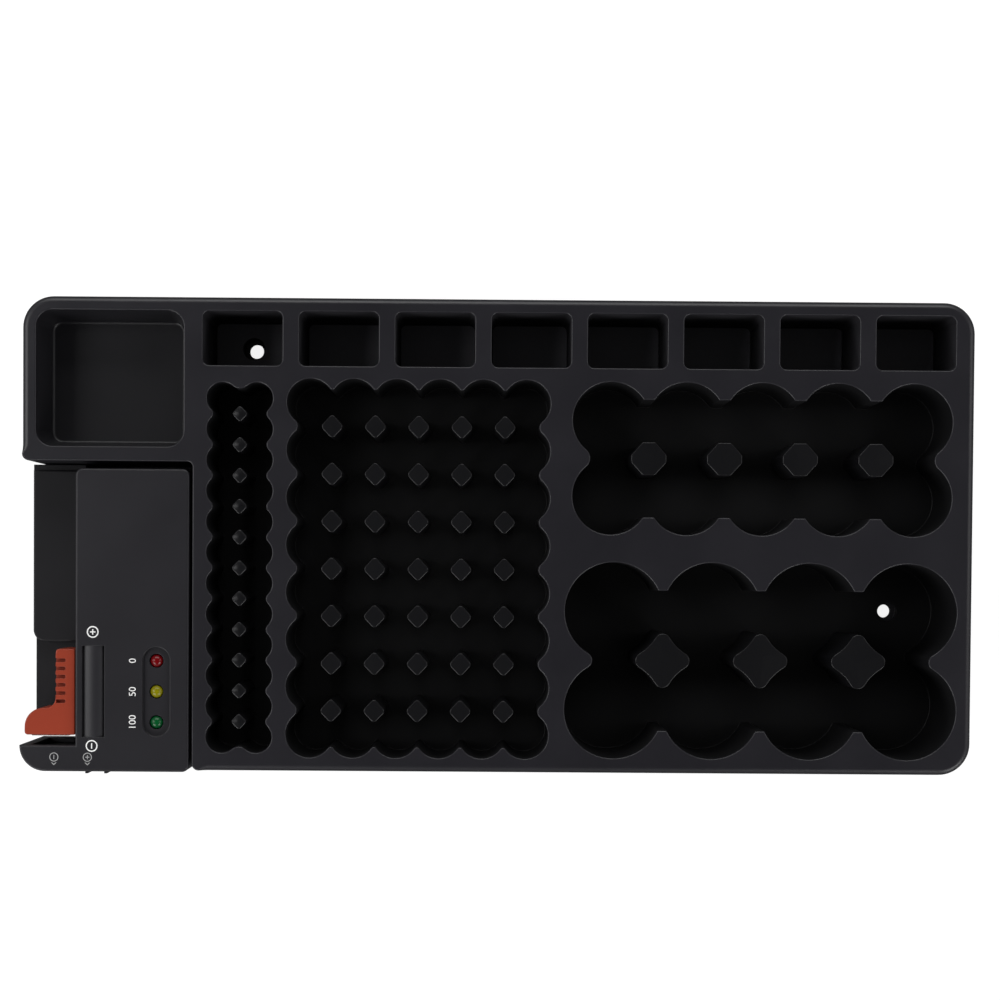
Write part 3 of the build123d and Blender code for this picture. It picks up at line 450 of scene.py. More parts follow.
plasticLooks = {  # what isn't given is as usual
    "trayPlastic": dict(colour=(0.0085, 0.0080, 0.0110), grainSize=1700.0, roughness=0.38,
                        sheenSpread=0.12, grainStrength=0.35, shine=0.44),
    # round wells: the tray's plastic made darker, painted shade for the deep wells
    "wellPaintedShadePlastic": dict(colour=(0.0028, 0.0028, 0.0034), roughness=0.55, shine=0.28),
    # posts: the tray's plastic made darker, painted shade on the posts among the wells
    "postPaintedShadePlastic": dict(colour=(0.0034, 0.0034, 0.0042), roughness=0.30, shine=0.38),
    # pocket floors: a much lighter grey than the tray's plastic, painted light at the bottom of the
    # deep pockets
    "pocketFloorPaintedLight": dict(colour=(0.1250, 0.1220, 0.1400), roughness=0.45),
    # pocket walls: lighter than the tray's plastic, painted light inside the deep pockets
    "pocketWallPaintedLight": dict(colour=(0.0150, 0.0145, 0.0170), roughness=0.55, shine=0.3),
    "coinPlastic": dict(colour=(0.0085, 0.0082, 0.0102), roughness=0.42, shine=0.34),
    "trayUndersides": dict(colour=(0.0115, 0.0110, 0.0140), grainSize=1700.0, sheenSpread=0.12,
                           grainStrength=0.35, edgeWidth=0.3, edgeWear=0.4,
                           wornColour=(0.03, 0.03, 0.034)),
    "testerPlastic": dict(colour=(0.0100, 0.0095, 0.0122), mottle=0.08, grainSize=2100.0,
                          roughness=0.42, shine=0.38, grainStrength=0.45, edgeWidth=0.5),
    "rearPlastic": dict(colour=(0.0058, 0.0055, 0.0072), mottle=0.08, grainSize=2100.0,
                        roughness=0.44, grainStrength=0.45, edgeWidth=0.5, shine=0.32),
    "barPlastic": dict(colour=(0.0110, 0.0105, 0.0135), mottle=0.06, grainSize=2100.0,
                       roughness=0.46, sheenSpread=0.08, grainDepth=0.00002, edgeWidth=0.2,
                       edgeWear=0.4),
    "sliderPlastic": dict(colour=(0.255, 0.032, 0.012), mottle=0.07, grainSize=2300.0,
                          grainStrength=0.35, shine=0.34),
    "boardLaminate": dict(colour=(0.02, 0.11, 0.05), mottle=0.12, grainSize=900.0,
                          grainStrength=0.3, grainDepth=0.00004, edgeWidth=0.15,
                          wornColour=(0.28, 0.25, 0.12)),
    "resistorCeramic": dict(colour=(0.42, 0.30, 0.17), roughness=0.45, grainStrength=0.3,
                            edgeWidth=0.2, wornColour=(0.6, 0.5, 0.35)),
    "chipResin": dict(colour=(0.012, 0.012, 0.013), grainSize=2600.0, roughness=0.55,
                      grainStrength=0.4, edgeWidth=0.15, wornColour=(0.04, 0.04, 0.04)),
    "markInk": dict(colour=(0.80, 0.80, 0.79), mottle=0.05, grainSize=3000.0, roughness=0.6,
                    grainStrength=0.3, grainDepth=0.00001),
    "faintInk": dict(colour=(0.30, 0.30, 0.30), mottle=0.08, grainSize=3000.0, roughness=0.6,
                     grainStrength=0.3, grainDepth=0.00001),
}
metalLooks = {
    "contactMetal": dict(dull=(0.55, 0.54, 0.52), bright=(0.86, 0.85, 0.82), roughness=0.26,
                         brush=(1.0, 1.0, 0.06)),
    # fixed contact: a dark copy of the contact metal, painted shade for the shaded window in the jaw
    "contactMetalPaintedShade": dict(dull=(0.05, 0.05, 0.05), bright=(0.12, 0.115, 0.11), roughness=0.45,
                           brush=(1.0, 1.0, 0.06)),
    "springWire": dict(dull=(0.35, 0.35, 0.36), bright=(0.62, 0.62, 0.63), roughness=0.3,
                       brush=(1.0, 0.05, 1.0)),
    "screwSteel": dict(dull=(0.30, 0.30, 0.31), bright=(0.55, 0.55, 0.56), roughness=0.35,
                       brush=(1.0, 1.0, 0.2)),
}
# core colours are painted light from inside the lamps; rim colours are the lens tint
lensLooks = {
    "greenLens": dict(paintedGlowCore=(0.0012, 0.088, 0.020), rim=(0.001, 0.022, 0.008)),
    "yellowLens": dict(paintedGlowCore=(0.235, 0.215, 0.001), rim=(0.10, 0.085, 0.002)),
    "redLens": dict(paintedGlowCore=(0.155, 0.001, 0.003), rim=(0.06, 0.001, 0.002)),
}
materials = {}
for build, looks in ((plasticMaterial, plasticLooks), (metalMaterial, metalLooks),
                     (lensMaterial, lensLooks)):
    for name, look in looks.items():
        materials[name] = build(name, look)
print("materials ready:", len(materials))


nodeFinishes = {
    "trayUndersides": ("tray_shell", "coin_well", "nine_volt_pockets", "aaa_well", "aaa_ribs",
                       "aaa_posts", "aa_well", "aa_ribs", "aa_posts", "c_well", "c_ribs",
                       "c_posts", "d_well", "d_ribs", "d_posts", "screw_bosses",
                       "tester_ledge"),
    "testerPlastic": ("front_cover",),
    "rearPlastic": ("rear_cover",),
    "barPlastic": ("crowned_bar",),
    "sliderPlastic": ("slider",),
    "boardLaminate": ("circuit_board",),
    "resistorCeramic": ("resistors",),
    "chipResin": ("level_chip",),
    "contactMetal": ("contact_strip", "snap_contacts", "wiper_track", "slider_contact",
                     "slider_wiper"),
    # the fixed contact's dark metal is painted shade
    "contactMetalPaintedShade": ("fixed_contact",),
    "screwSteel": ("case_screws", "guide_rod"),
    "springWire": ("return_spring",),
    "greenLens": ("green_lamp",),
    "yellowLens": ("yellow_lamp",),
    "redLens": ("red_lamp",),
}
for finish, names in nodeFinishes.items():
    for nodeName in names:
        mesh = nodes[nodeName].data
        mesh.materials.clear()
        mesh.materials.append(materials[finish])

# tray body
shellLow, shellHigh = boxOf("tray_shell")
tray = {
    "left": shellLow[0], "right": shellHigh[0], "front": shellLow[1], "back": shellHigh[1],
    "top": shellHigh[2], "bayRight": -107.06, "bayBack": 26.275, "wall": 2.2,
    "deckUnderside": 42.8, "cornerRadius": 11.0, "bayLeftRadius": 2.4, "bayFrontRadius": 2.4,
    "bayInnerRadius": 2.0, "rimRadius": 2.4, "bayRimRadius": 0.5, "rimBlend": 2.5,
    "rimSteps": 7, "wellRim": 0.5, "skin": 0.05, "longestRun": 1.6, "underGap": 0.9,
}
roundWells = {
    "aaa": dict(centre=(-90.56, -10.98), counts=(2, 12), pitches=(12.0, 10.83), bore=11.2,
                floor=17.0, tips=((3.68, 0), (2.16, 0))),
    "aa": dict(centre=(-27.735, -10.98), counts=(6, 8), pitches=(15.19, 16.67), bore=16.6,
               floor=15.0, tips=((1.13, 0), (2.67, 0))),
    "c": dict(centre=(93.25, 28.47), counts=(5, 2), pitches=(26.65, 26.6), bore=27.0,
              floor=15.0, tips=((0.5, 4.0), (3.87, 0))),
    "d": dict(centre=(93.25, -42.63), counts=(4, 2), pitches=(34.54, 34.6), bore=34.6,
              floor=5.0, tips=((0.5, 3.3), (2.87, 0))),
}
boxWells = {
    "coin": dict(centre=(-136.16, 55.275), size=(51.8, 47.7), radius=5.8, floor=27.0,
                 floorFillet=1.2, draft=1.9),
}
pockets = {"first": (-89.685, 69.595), "pitch": 33.8, "count": 8, "size": (27.95, 19.06),
           "radius": 2.3, "floor": 10.4, "floorFillet": 0.4}
floorHoles = {"pocket": (-89.685, 69.595), "largeCell": (145.06, -25.33), "radius": 3.95,
              "edge": 0.2, "depth": 1.2}


def smoothStep(value):
    value = min(1.0, max(0.0, value))
    return value * value * (3 - 2 * value)


def rimRadiusAt(x, y):
    # broad on the outer sides, thin along the tester's bay
    onBay = x < tray["bayRight"] + 0.01 and y < tray["bayBack"] + 0.01
    if onBay:
        return tray["bayRimRadius"]
    alongFront = (x - tray["bayRight"] - tray["bayFrontRadius"]) / tray["rimBlend"]
    alongLeft = (y - tray["bayBack"] - tray["bayLeftRadius"]) / tray["rimBlend"]
    share = 1.0
    if y < tray["front"] + 3:
        share = smoothStep(alongFront)
    if x < tray["left"] + 3:
        share = smoothStep(alongLeft)
    return tray["bayRimRadius"] + (tray["rimRadius"] - tray["bayRimRadius"]) * share


def splitLongRuns(loop, longest):
    result = []
    for place, point in enumerate(loop):
        after = loop[(place + 1) % len(loop)]
        gap = math.hypot(after[0] - point[0], after[1] - point[1])
        pieces = max(1, math.ceil(gap / longest))
        for step in range(pieces):
            share = step / pieces
            result.append(tuple(a + (b - a) * share for a, b in zip(point, after)))
    return result


def trayLoop():
    corners = [
        (tray["bayRight"], tray["front"], tray["bayFrontRadius"]),
        (tray["right"], tray["front"], tray["cornerRadius"]),
        (tray["right"], tray["back"], tray["cornerRadius"]),
        (tray["left"], tray["back"], tray["cornerRadius"]),
        (tray["left"], tray["bayBack"], tray["bayLeftRadius"]),
        (tray["bayRight"], tray["bayBack"], tray["bayInnerRadius"]),
    ]
    return splitLongRuns(roundedLoop(corners, math.radians(6)), tray["longestRun"])


def tipPoints(pitch, radius, tip, cuspMiddle):
    # the cusp between two cells in wall coordinates: u along the wall, v into the well
    tipRadius, flat = tip
    if flat:
        height = radius - math.sqrt(radius**2 - ((pitch - flat) / 2) ** 2)
        half = pitch / 2 - math.sqrt(
            (radius + tipRadius) ** 2 - (radius - height + tipRadius) ** 2
        )
        centreV = height - tipRadius
    else:
        # the tip's centre lies where its circle touches both cells
        half = 0.0
        centreV = radius - math.sqrt((radius + tipRadius) ** 2 - (pitch / 2) ** 2)
    lean = math.atan2(radius - centreV, pitch / 2 - half)
    step = math.radians(14)
    points = arcPoints(cuspMiddle - half, centreV, tipRadius, math.pi - lean,
                       math.pi / 2, step, 1)
    other = arcPoints(cuspMiddle + half, centreV, tipRadius, math.pi / 2, lean, step, 1)
    points += other if half else other[1:]
    return points, lean


def wallRun(count, pitch, bore, tip):
    # one wall of a well from the first cell's side to the last cell's lowest point
    radius = bore / 2
    points = []
    lean = tipPoints(pitch, radius, tip, 0)[1]
    for index in range(count):
        start = math.pi if index == 0 else math.pi + lean
        end = 1.5 * math.pi if index == count - 1 else 2 * math.pi - lean
        arc = arcPoints(index * pitch + radius, radius, radius, start, end, math.radians(6), -1)
        points += arc[1:] if index else arc
        if index < count - 1:
            tipArc = tipPoints(pitch, radius, tip, index * pitch + radius + pitch / 2)[0]
            points += tipArc[1:]
    return points[:-1]


def wellLoop(well):
    # scalloped outline seen from above, normals into the well
    cx, cy = well["centre"]
    nx, ny = well["counts"]
    px, py = well["pitches"]
    bore = well["bore"]
    halfX, halfY = ((nx - 1) * px + bore) / 2, ((ny - 1) * py + bore) / 2
    loop = []
    runs = (
        (nx, px, well["tips"][0], (cx - halfX, cy - halfY), (1, 0)),
        (ny, py, well["tips"][1], (cx + halfX, cy - halfY), (0, 1)),
        (nx, px, well["tips"][0], (cx + halfX, cy + halfY), (-1, 0)),
        (ny, py, well["tips"][1], (cx - halfX, cy + halfY), (0, -1)),
    )
    for count, pitch, tip, (x0, y0), (ax, ay) in runs:
        for u, v, nu, nv in wallRun(count, pitch, bore, tip):
            loop.append((x0 + ax * u - ay * v, y0 + ay * u + ax * v,
                         ax * nu - ay * nv, ay * nu + ax * nv))
    return loop


def sinkWell(shape, loop, floorTop, floorFillet, finishes, holes=(), draft=0.0):
    # rim bevel, wall and floor; finishes are the wall's and the floor's; gives back the rim
    firstFace = len(shape["faces"]) + 3 * len(loop)
    rim, skin, top = tray["wellRim"], tray["skin"], tray["top"]
    steps = []
    for angle in quarter(3):
        steps.append((skin - rim + rim * math.sin(angle), top - rim + rim * math.cos(angle),
                      math.sin(angle), math.cos(angle)))
    floorZ = floorTop + skin
    for angle in quarter(4):
        steps.append((skin + draft + floorFillet * (1 - math.cos(angle)),
                      floorZ + floorFillet * (1 - math.sin(angle)),
                      math.cos(angle), math.sin(angle)))
    rings = sweepRings(shape, loop, steps)
    finishFrom(shape, firstFace, finishes[0])
    floorFace = len(shape["faces"])
    holeRings = []
    for hole in holes:
        holeRings.append(addRing(shape, hole, -floorHoles["edge"], floorZ, 0, 1))
        edge = addRing(shape, hole, 0, floorZ - floorHoles["edge"], 1, 0.4)
        joinRings(shape, holeRings[-1], edge)
        joinRings(shape, edge, addRing(shape, hole, 0, floorZ - floorHoles["depth"], 1, 0))
    fillFlat(shape, rings[-1], holeRings)
    finishFrom(shape, floorFace, finishes[1])
    return rings[0]


def buildTray():
    shape = newShape()
    loop = trayLoop()
    top, wall = tray["top"], tray["wall"]
    radii = [rimRadiusAt(x, y) for x, y, nx, ny in loop]
    steps = [(0, 0, 1, 0), ([0.0] * len(loop), [top - r for r in radii], 1, 0)]
    for angle in quarter(tray["rimSteps"])[1:]:
        c, s = math.cos(angle), math.sin(angle)
        steps.append(([-r * (1 - c) for r in radii], [top - r + r * s for r in radii], c, s))
    rings = sweepRings(shape, loop, steps)
    wellRims = []
    for name, well in roundWells.items():
        holes = []
        if name == "d":
            holes = [inward(circleLoop(*floorHoles["largeCell"], floorHoles["radius"]))]
        wellRims.append(sinkWell(shape, wellLoop(well), well["floor"], 0.4, (1, 1), holes))
    coin = boxWells["coin"]
    outline = inward(rectangleLoop(*coin["centre"], *coin["size"], coin["radius"]))
    wellRims.append(sinkWell(shape, outline, coin["floor"], coin["floorFillet"], (3, 3),
                             draft=coin["draft"]))
    for index in range(pockets["count"]):
        centre = (pockets["first"][0] + index * pockets["pitch"], pockets["first"][1])
        outline = inward(rectangleLoop(*centre, *pockets["size"], pockets["radius"]))
        holes = []
        if index == 0:
            holes = [inward(circleLoop(*floorHoles["pocket"], floorHoles["radius"]))]
        wellRims.append(
            sinkWell(shape, outline, pockets["floor"], pockets["floorFillet"], (4, 2), holes)
        )
    fillFlat(shape, rings[-1], wellRims)
    # the hollow side: lower edge, inner skirt, and the deck's underside round the wells
    foot = addRing(shape, loop, 0, 0, 0, -1)
    footInner = addRing(shape, loop, -wall, 0, 0, -1)
    joinRings(shape, foot, footInner)
    inner = sweepRings(shape, loop, [(-wall, 0, -1, 0), (-wall, tray["deckUnderside"], -1, 0)])
    under = addRing(shape, loop, -wall, tray["deckUnderside"], 0, -1)
    holes = []
    for well in roundWells.values():
        length = (well["counts"][0] - 1) * well["pitches"][0] + well["bore"]
        width = (well["counts"][1] - 1) * well["pitches"][1] + well["bore"]
        hole = rectangleLoop(*well["centre"], length, width, well["bore"] / 2)
        holes.append(addRing(shape, hole, tray["underGap"], tray["deckUnderside"], 0, -1))
    hole = rectangleLoop(*coin["centre"], *coin["size"], coin["radius"])
    holes.append(addRing(shape, hole, tray["underGap"], tray["deckUnderside"], 0, -1))
    for index in range(pockets["count"]):
        centre = (pockets["first"][0] + index * pockets["pitch"], pockets["first"][1])
        hole = rectangleLoop(*centre, *pockets["size"], pockets["radius"])
        holes.append(addRing(shape, hole, tray["underGap"], tray["deckUnderside"], 0, -1))
    fillFlat(shape, under, holes)
    return shape


# the round wells' finish is painted shade; the pockets' wall and floor finishes are painted light
makePiece("trayBody", buildTray(),
          ["trayPlastic", "wellPaintedShadePlastic", "pocketFloorPaintedLight", "coinPlastic", "pocketWallPaintedLight"],
          "tray", ("tray_shell", "aaa_ribs", "aa_ribs", "c_ribs", "d_ribs"))

# posts between the cells
postLooks = {
    "aaa": dict(node="aaa_posts", bevel=0.5, slope=0.22, soften=0.5),
    "aa": dict(node="aa_posts", bevel=0.36, slope=0.015, soften=0.8),
    "c": dict(node="c_posts", bevel=0.34, slope=0.035, soften=0.5),
    "d": dict(node="d_posts", bevel=0.36, slope=0.05, soften=0.25),
}
topRings = (0.97, 0.85, 0.7, 0.55, 0.4, 0.25, 0.12, 0.05)  # shares of the way to the edge
unevenTops = {  # (slope along x, slope along y, lift) of the planes that meet on each post
    "d": (((-0.055, 0.0, 0.0), (0.055, 0.0, 0.0)),
          ((0.01, 0.06, 0.0), (-0.07, -0.07, 0.28), (0.05, -0.08, 0.20)),
          ((0.0, 0.06, 0.0), (0.03, -0.05, 0.0), (-0.03, -0.05, 0.0))),
    "c": (((-0.05, 0.02, 0.0), (0.05, 0.03, 0.0), (0.0, -0.05, 0.0)),
          ((-0.05, 0.0, 0.0), (0.04, 0.02, 0.0)),
          ((0.0, 0.05, 0.0), (-0.04, -0.04, 0.0), (0.04, -0.03, 0.0)),
          ((-0.04, 0.03, 0.0), (0.05, 0.0, 0.0), (0.0, -0.05, 0.0))),
}


def starLoop(well, reachX, reachY):
    # four-pointed post: hollow sides follow the cells, round tips touch both of them
    px, py = well["pitches"][0] / 2, well["pitches"][1] / 2
    radius = well["bore"] / 2 + 0.05
    loop = []

    def tipRadius(along, across, reach):
        # circle at the tip that touches the two cells beside it
        gap = along - reach
        return (gap**2 + across**2 - radius**2) / (2 * (radius - gap))

    tips = []
    for turn in range(4):
        along, across, reach = (px, py, reachX) if turn % 2 == 0 else (py, px, reachY)
        tipSize = tipRadius(along, across, reach)
        tips.append((tipSize, reach - tipSize, math.atan2(across, along - reach + tipSize)))
    for turn in range(4):
        tipSize, middle, half = tips[turn]
        base = turn * math.pi / 2
        cx, cy = middle * math.cos(base), middle * math.sin(base)
        loop += arcPoints(cx, cy, tipSize, base - half, base + half, math.radians(10), 1)
        # hollow side round the cell in this quarter, from this tip to the next one
        quarterX = px * (1 if turn in (0, 3) else -1)
        quarterY = py * (1 if turn in (0, 1) else -1)
        start = math.atan2(cy - quarterY, cx - quarterX)
        nextMiddle = tips[(turn + 1) % 4][1]
        nx = nextMiddle * math.cos(base + math.pi / 2)
        ny = nextMiddle * math.sin(base + math.pi / 2)
        end = math.atan2(ny - quarterY, nx - quarterX)
        while end > start:
            end -= 2 * math.pi
        loop += arcPoints(quarterX, quarterY, radius, start, end, math.radians(5), -1)[1:-1]
    return loop


def postLoop(kind, well):
    if kind == "aaa":
        return roundedLoop([(0, -3.15, 1.1), (3.0, 0, 1.2), (0, 3.15, 1.1), (-3.0, 0, 1.2)])
    if kind == "aa":
        return roundedLoop([(0, -4.5, 1.3), (4.2, -0.15, 1.6), (0, 4.45, 1.25),
                            (-4.2, -0.15, 1.6)])
    if kind == "c":
        return roundedLoop([(-2.2, -5.75, 0.7), (2.2, -5.75, 0.7), (6.2, -1.35, 1.4),
                            (6.2, 1.35, 1.4), (2.2, 5.75, 0.7), (-2.2, 5.75, 0.7),
                            (-6.2, 1.35, 1.4), (-6.2, -1.35, 1.4)])
    return starLoop(well, 9.6, 9.6)


def buildPost(kind, well, look, planes):
    shape = newShape()
    loop = postLoop(kind, well)
    bevel, top = look["bevel"], tray["top"]

    def topAt(x, y):
        # height and normal of the low uneven top
        soft = look["soften"]
        if not planes:
            spread = math.sqrt(x * x + y * y + soft * soft)
            drop = look["slope"] * (spread - soft)
            return drop, (look["slope"] * x / spread, look["slope"] * y / spread)
        weights = [math.exp((a * x + b * y + c) / (look["slope"] * soft)) for a, b, c in planes]
        total = sum(weights)
        drop = look["slope"] * soft * math.log(total / len(planes))
        slopeX = sum(w * a for w, (a, b, c) in zip(weights, planes)) / total
        slopeY = sum(w * b for w, (a, b, c) in zip(weights, planes)) / total
        return drop, (slopeX, slopeY)

    lowest = min(topAt(x * 0.5, y * 0.5)[0] for x, y, nx, ny in loop)
    base = min(0.0, lowest)
    crest = top - 0.05

    def edgeZ(x, y):
        return crest + base - max(0.0, topAt(x, y)[0])

    edges = [edgeZ(x - nx * bevel, y - ny * bevel) for x, y, nx, ny in loop]
    rings = [addRing(shape, loop, 0, well["floor"], 1, 0)]
    for angle in quarter(3):
        c, s = math.cos(angle), math.sin(angle)
        heights = [z - bevel * (1 - s) for z in edges]
        rings.append(addRing(shape, loop, -bevel * (1 - c), heights, c, s))
    for ringA, ringB in zip(rings, rings[1:]):
        joinRings(shape, ringA, ringB)
    previous = rings[-1]
    for share in topRings:
        ring = []
        for x, y, nx, ny in loop:
            px, py = (x - nx * bevel) * share, (y - ny * bevel) * share
            sx, sy = topAt(px, py)[1]
            ring.append(addPoint(shape, (px, py, edgeZ(px, py)), (sx, sy, 1)))
        joinRings(shape, previous, ring)
        previous = ring
    addDisc(shape, previous, (0, 0, edgeZ(0, 0)), (0, 0, 1))
    return shape


for kind, look in postLooks.items():
    well = roundWells[kind]
    tops = unevenTops.get(kind, (None,))
    posts = newShape()
    number = 0
    for row in range(well["counts"][1] - 1):
        for column in range(well["counts"][0] - 1):
            x = well["centre"][0] + (column + 1 - well["counts"][0] / 2) * well["pitches"][0]
            y = well["centre"][1] + (row + 1 - well["counts"][1] / 2) * well["pitches"][1]
            post = buildPost(kind, well, look, tops[number % len(tops)])
            joinShape(posts, placed(post, Matrix.Translation((x, y, 0))))
            number += 1
    makePiece(kind + "Posts", posts, ["postPaintedShadePlastic"], "tray", (look["node"],))

# slider
sliderLow, sliderHigh = boxOf("slider")
sliderSizes = {"shoeWidth": 6.0, "shoeLength": 20.0, "tongueReach": 2.54, "gripInset": 8.4,
               "gripWidth": 6.9, "fingerDepth": 9.5}
gripRight = sliderHigh[0] - sliderSizes["gripInset"]
grip = {
    "left": gripRight - sliderSizes["gripWidth"], "right": gripRight,
    "front": sliderLow[1], "back": sliderHigh[1], "bottom": sliderLow[2], "top": sliderHigh[2],
    "fingerLeft": sliderLow[0], "fingerBack": sliderLow[1] + sliderSizes["fingerDepth"],
    "tipRadius": 6.6, "rootRadius": 3.6, "rim": 0.5, "notchRim": 0.25,
    "grooves": 6, "groovePitch": 2.9, "grooveWidth": 1.2, "grooveLength": 3.5,
    "grooveDepth": 1.4, "grooveMargin": 4.0,
}
gripMiddle = (grip["front"] + grip["back"]) / 2
shoeLeft = sliderHigh[0] - sliderSizes["shoeWidth"]
shoe = {"x": (shoeLeft, sliderHigh[0]), "z": (30.4, 38.4), "bore": 1.3,
        "y": (gripMiddle - sliderSizes["shoeLength"] / 2,
              gripMiddle + sliderSizes["shoeLength"] / 2),
        "rod": ((shoeLeft + sliderHigh[0]) / 2, 34.4)}
tongue = {"x": (shoeLeft - sliderSizes["tongueReach"], shoeLeft), "y": shoe["y"],
          "z": (32.2, 36.6)}


def solidFrom(loop, low, high, rim, holes=()):
    # an upright solid with a soft upper edge; rim may be a list, one for each point
    shape = newShape()
    radii = rim if isinstance(rim, list) else [rim] * len(loop)
    steps = [(0, low, 1, 0)]
    for angle in quarter(4):
        c, s = math.cos(angle), math.sin(angle)
        steps.append(([-r * (1 - c) for r in radii], [high - r + r * s for r in radii], c, s))
    rings = sweepRings(shape, loop, steps)
    upper, lower = [], []
    bottom = addRing(shape, loop, 0, low, 0, -1)
    for hole in holes:
        sweepRings(shape, hole, [(0, low, 1, 0), (0, high, 1, 0)])
        upper.append(addRing(shape, hole, 0, high, 0, 1))
        lower.append(addRing(shape, hole, 0, low, 0, -1))
    fillFlat(shape, rings[-1], upper)
    fillFlat(shape, bottom, lower)
    return shape


def buildSlider():
    g = grip
    outline = [
        (g["right"], g["front"], 0.6), (g["right"], g["back"], 0.6), (g["left"], g["back"], 1.2),
        (g["left"], g["fingerBack"], g["rootRadius"]),
        (g["fingerLeft"], g["fingerBack"], g["tipRadius"]), (g["fingerLeft"], g["front"], 1.1),
    ]
    notched = outline[:3]
    for index in range(g["grooves"]):
        middle = g["back"] - g["grooveMargin"] - index * g["groovePitch"]
        high, low = middle + g["grooveWidth"] / 2, middle - g["grooveWidth"] / 2
        inner = g["left"] + g["grooveLength"]
        notched += [(g["left"], high, 0.3), (inner, high, 0.59), (inner, low, 0.59),
                    (g["left"], low, 0.3)]
    notched += outline[3:]
    lowerTop = g["top"] - g["grooveDepth"]
    shape = solidFrom(roundedLoop(outline), g["bottom"], lowerTop, 0.05)
    loop = splitLongRuns(roundedLoop(notched), 2.0)
    near = g["left"] + g["grooveLength"] + 0.6
    firstGroove = g["back"] - g["grooveMargin"] + g["groovePitch"] / 2
    lastGroove = firstGroove - g["grooves"] * g["groovePitch"]
    radii = []
    for x, y, nx, ny in loop:
        inGrooves = x < near and lastGroove < y < firstGroove
        radii.append(g["notchRim"] if inGrooves else g["rim"])
    joinShape(shape, solidFrom(loop, lowerTop - 0.02, g["top"], radii))
    middle = ((tongue["x"][0] + tongue["x"][1]) / 2, sum(tongue["y"]) / 2)
    size = (tongue["x"][1] - tongue["x"][0], tongue["y"][1] - tongue["y"][0])
    joinShape(shape, solidFrom(rectangleLoop(*middle, *size, 0.2), *tongue["z"], 0.2))
    # the shoe is drawn lying down, so that the rod's bore runs through it
    middle = (sum(shoe["x"]) / 2, sum(shoe["z"]) / 2)
    size = (shoe["x"][1] - shoe["x"][0], shoe["z"][1] - shoe["z"][0])
    bore = inward(circleLoop(*shoe["rod"], shoe["bore"]))
    lying = solidFrom(rectangleLoop(*middle, *size, 0.4), *shoe["y"], 0.3, [bore])
    swap = Matrix(((1, 0, 0, 0), (0, 0, 1, 0), (0, 1, 0, 0), (0, 0, 0, 1)))
    joinShape(shape, placed(lying, swap))
    return shape


makePiece("sliderGrip", buildSlider(), ["sliderPlastic"], "slider",
          ("slider",))

# return spring
springLow, springHigh = boxOf("return_spring")
coil = {"x": (springLow[0] + springHigh[0]) / 2, "z": (springLow[2] + springHigh[2]) / 2,
        "front": springLow[1], "back": springHigh[1], "meanRadius": 1.98,
        "wireRadius": 0.36, "turns": 24, "stepsPerTurn": 20, "wireSides": 8, "closedTurns": 1.5}


def buildCoil():
    shape = newShape()
    total = coil["turns"] * coil["stepsPerTurn"]
    length = coil["back"] - coil["front"] - 2 * coil["wireRadius"]
    previous = None
    for step in range(total + 1):
        turns = step / coil["stepsPerTurn"]
        angle = 2 * math.pi * turns
        endTurns = min(turns, coil["turns"] - turns) / coil["closedTurns"]
        # the first and last turns lie close together, the rest are evenly spread
        close = coil["closedTurns"] * 2 * coil["wireRadius"] * 1.05
        openTurns = coil["turns"] - 2 * coil["closedTurns"]
        if turns < coil["closedTurns"]:
            along = close * endTurns
        elif turns > coil["turns"] - coil["closedTurns"]:
            along = length - close * endTurns
        else:
            share = (turns - coil["closedTurns"]) / openTurns
            along = close + (length - 2 * close) * share
        centre = Vector((coil["x"] + coil["meanRadius"] * math.cos(angle),
                         coil["front"] + coil["wireRadius"] + along,
                         coil["z"] + coil["meanRadius"] * math.sin(angle)))
        outward = Vector((math.cos(angle), 0, math.sin(angle)))
        ring = []
        for side in range(coil["wireSides"]):
            turn = 2 * math.pi * side / coil["wireSides"]
            normal = outward * math.cos(turn) + Vector((0, 1, 0)) * math.sin(turn)
            ring.append(addPoint(shape, tuple(centre + normal * coil["wireRadius"]),
                                 tuple(normal)))
        if previous:
            joinRings(shape, previous, ring)
        else:
            addDisc(shape, ring, tuple(centre), (-math.sin(angle), 0, math.cos(angle)))
        previous = ring
    addDisc(shape, previous, tuple(centre), (-math.sin(angle), 0, math.cos(angle)))
    return shape


springCoil = makePiece("springCoil", buildCoil(), ["springWire"], "tester",
                       ("return_spring",))
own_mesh(springCoil)

# printed marks on the tester's face
lampX = middleOf("yellow_lamp")[0]
marks = {  # places from the row of lamps: sign, left of it, y, radius
    "z": 44.82, "thick": 0.42, "thin": 0.3,
    "large": (("plus", -22.29, -33.85, 2.08), ("minus", -22.59, -74.05, 2.08)),
    "small": (("minus", -35.89, -78.05, 1.6), ("plus", -24.09, -78.05, 1.6)),
    "arrows": ((-35.89, -80.45), (-24.09, -80.45)), "arrowHalf": 1.0, "arrowRise": 1.0,
    "numbers": (("100", -8.39, -65.6), ("50", -8.39, -54.8), ("0", -8.39, -43.9)),
    "numberHeight": 2.5, "capShare": 0.72,  # a capital's height over the font's size
}


def addFlatLoop(shape, loop):
    ring = addRing(shape, loop, 0, marks["z"], 0, 1)
    fillFlat(shape, ring, [])


def addMark(shape, sign, x, y, radius, width):
    outer = addRing(shape, circleLoop(x, y, radius, 40), 0, marks["z"], 0, 1)
    innerRing = addRing(shape, circleLoop(x, y, radius - width, 40), 0, marks["z"], 0, 1)
    joinRings(shape, outer, innerRing)
    reach = radius * 0.95
    addFlatLoop(shape, rectangleLoop(x, y, width * 0.95, reach, 0.08))
    if sign == "plus":
        side = (reach - width) / 2
        for way in (-1, 1):
            middle = x + way * (width * 0.475 + side / 2)
            addFlatLoop(shape, rectangleLoop(middle, y, side, width * 0.95, 0.08))


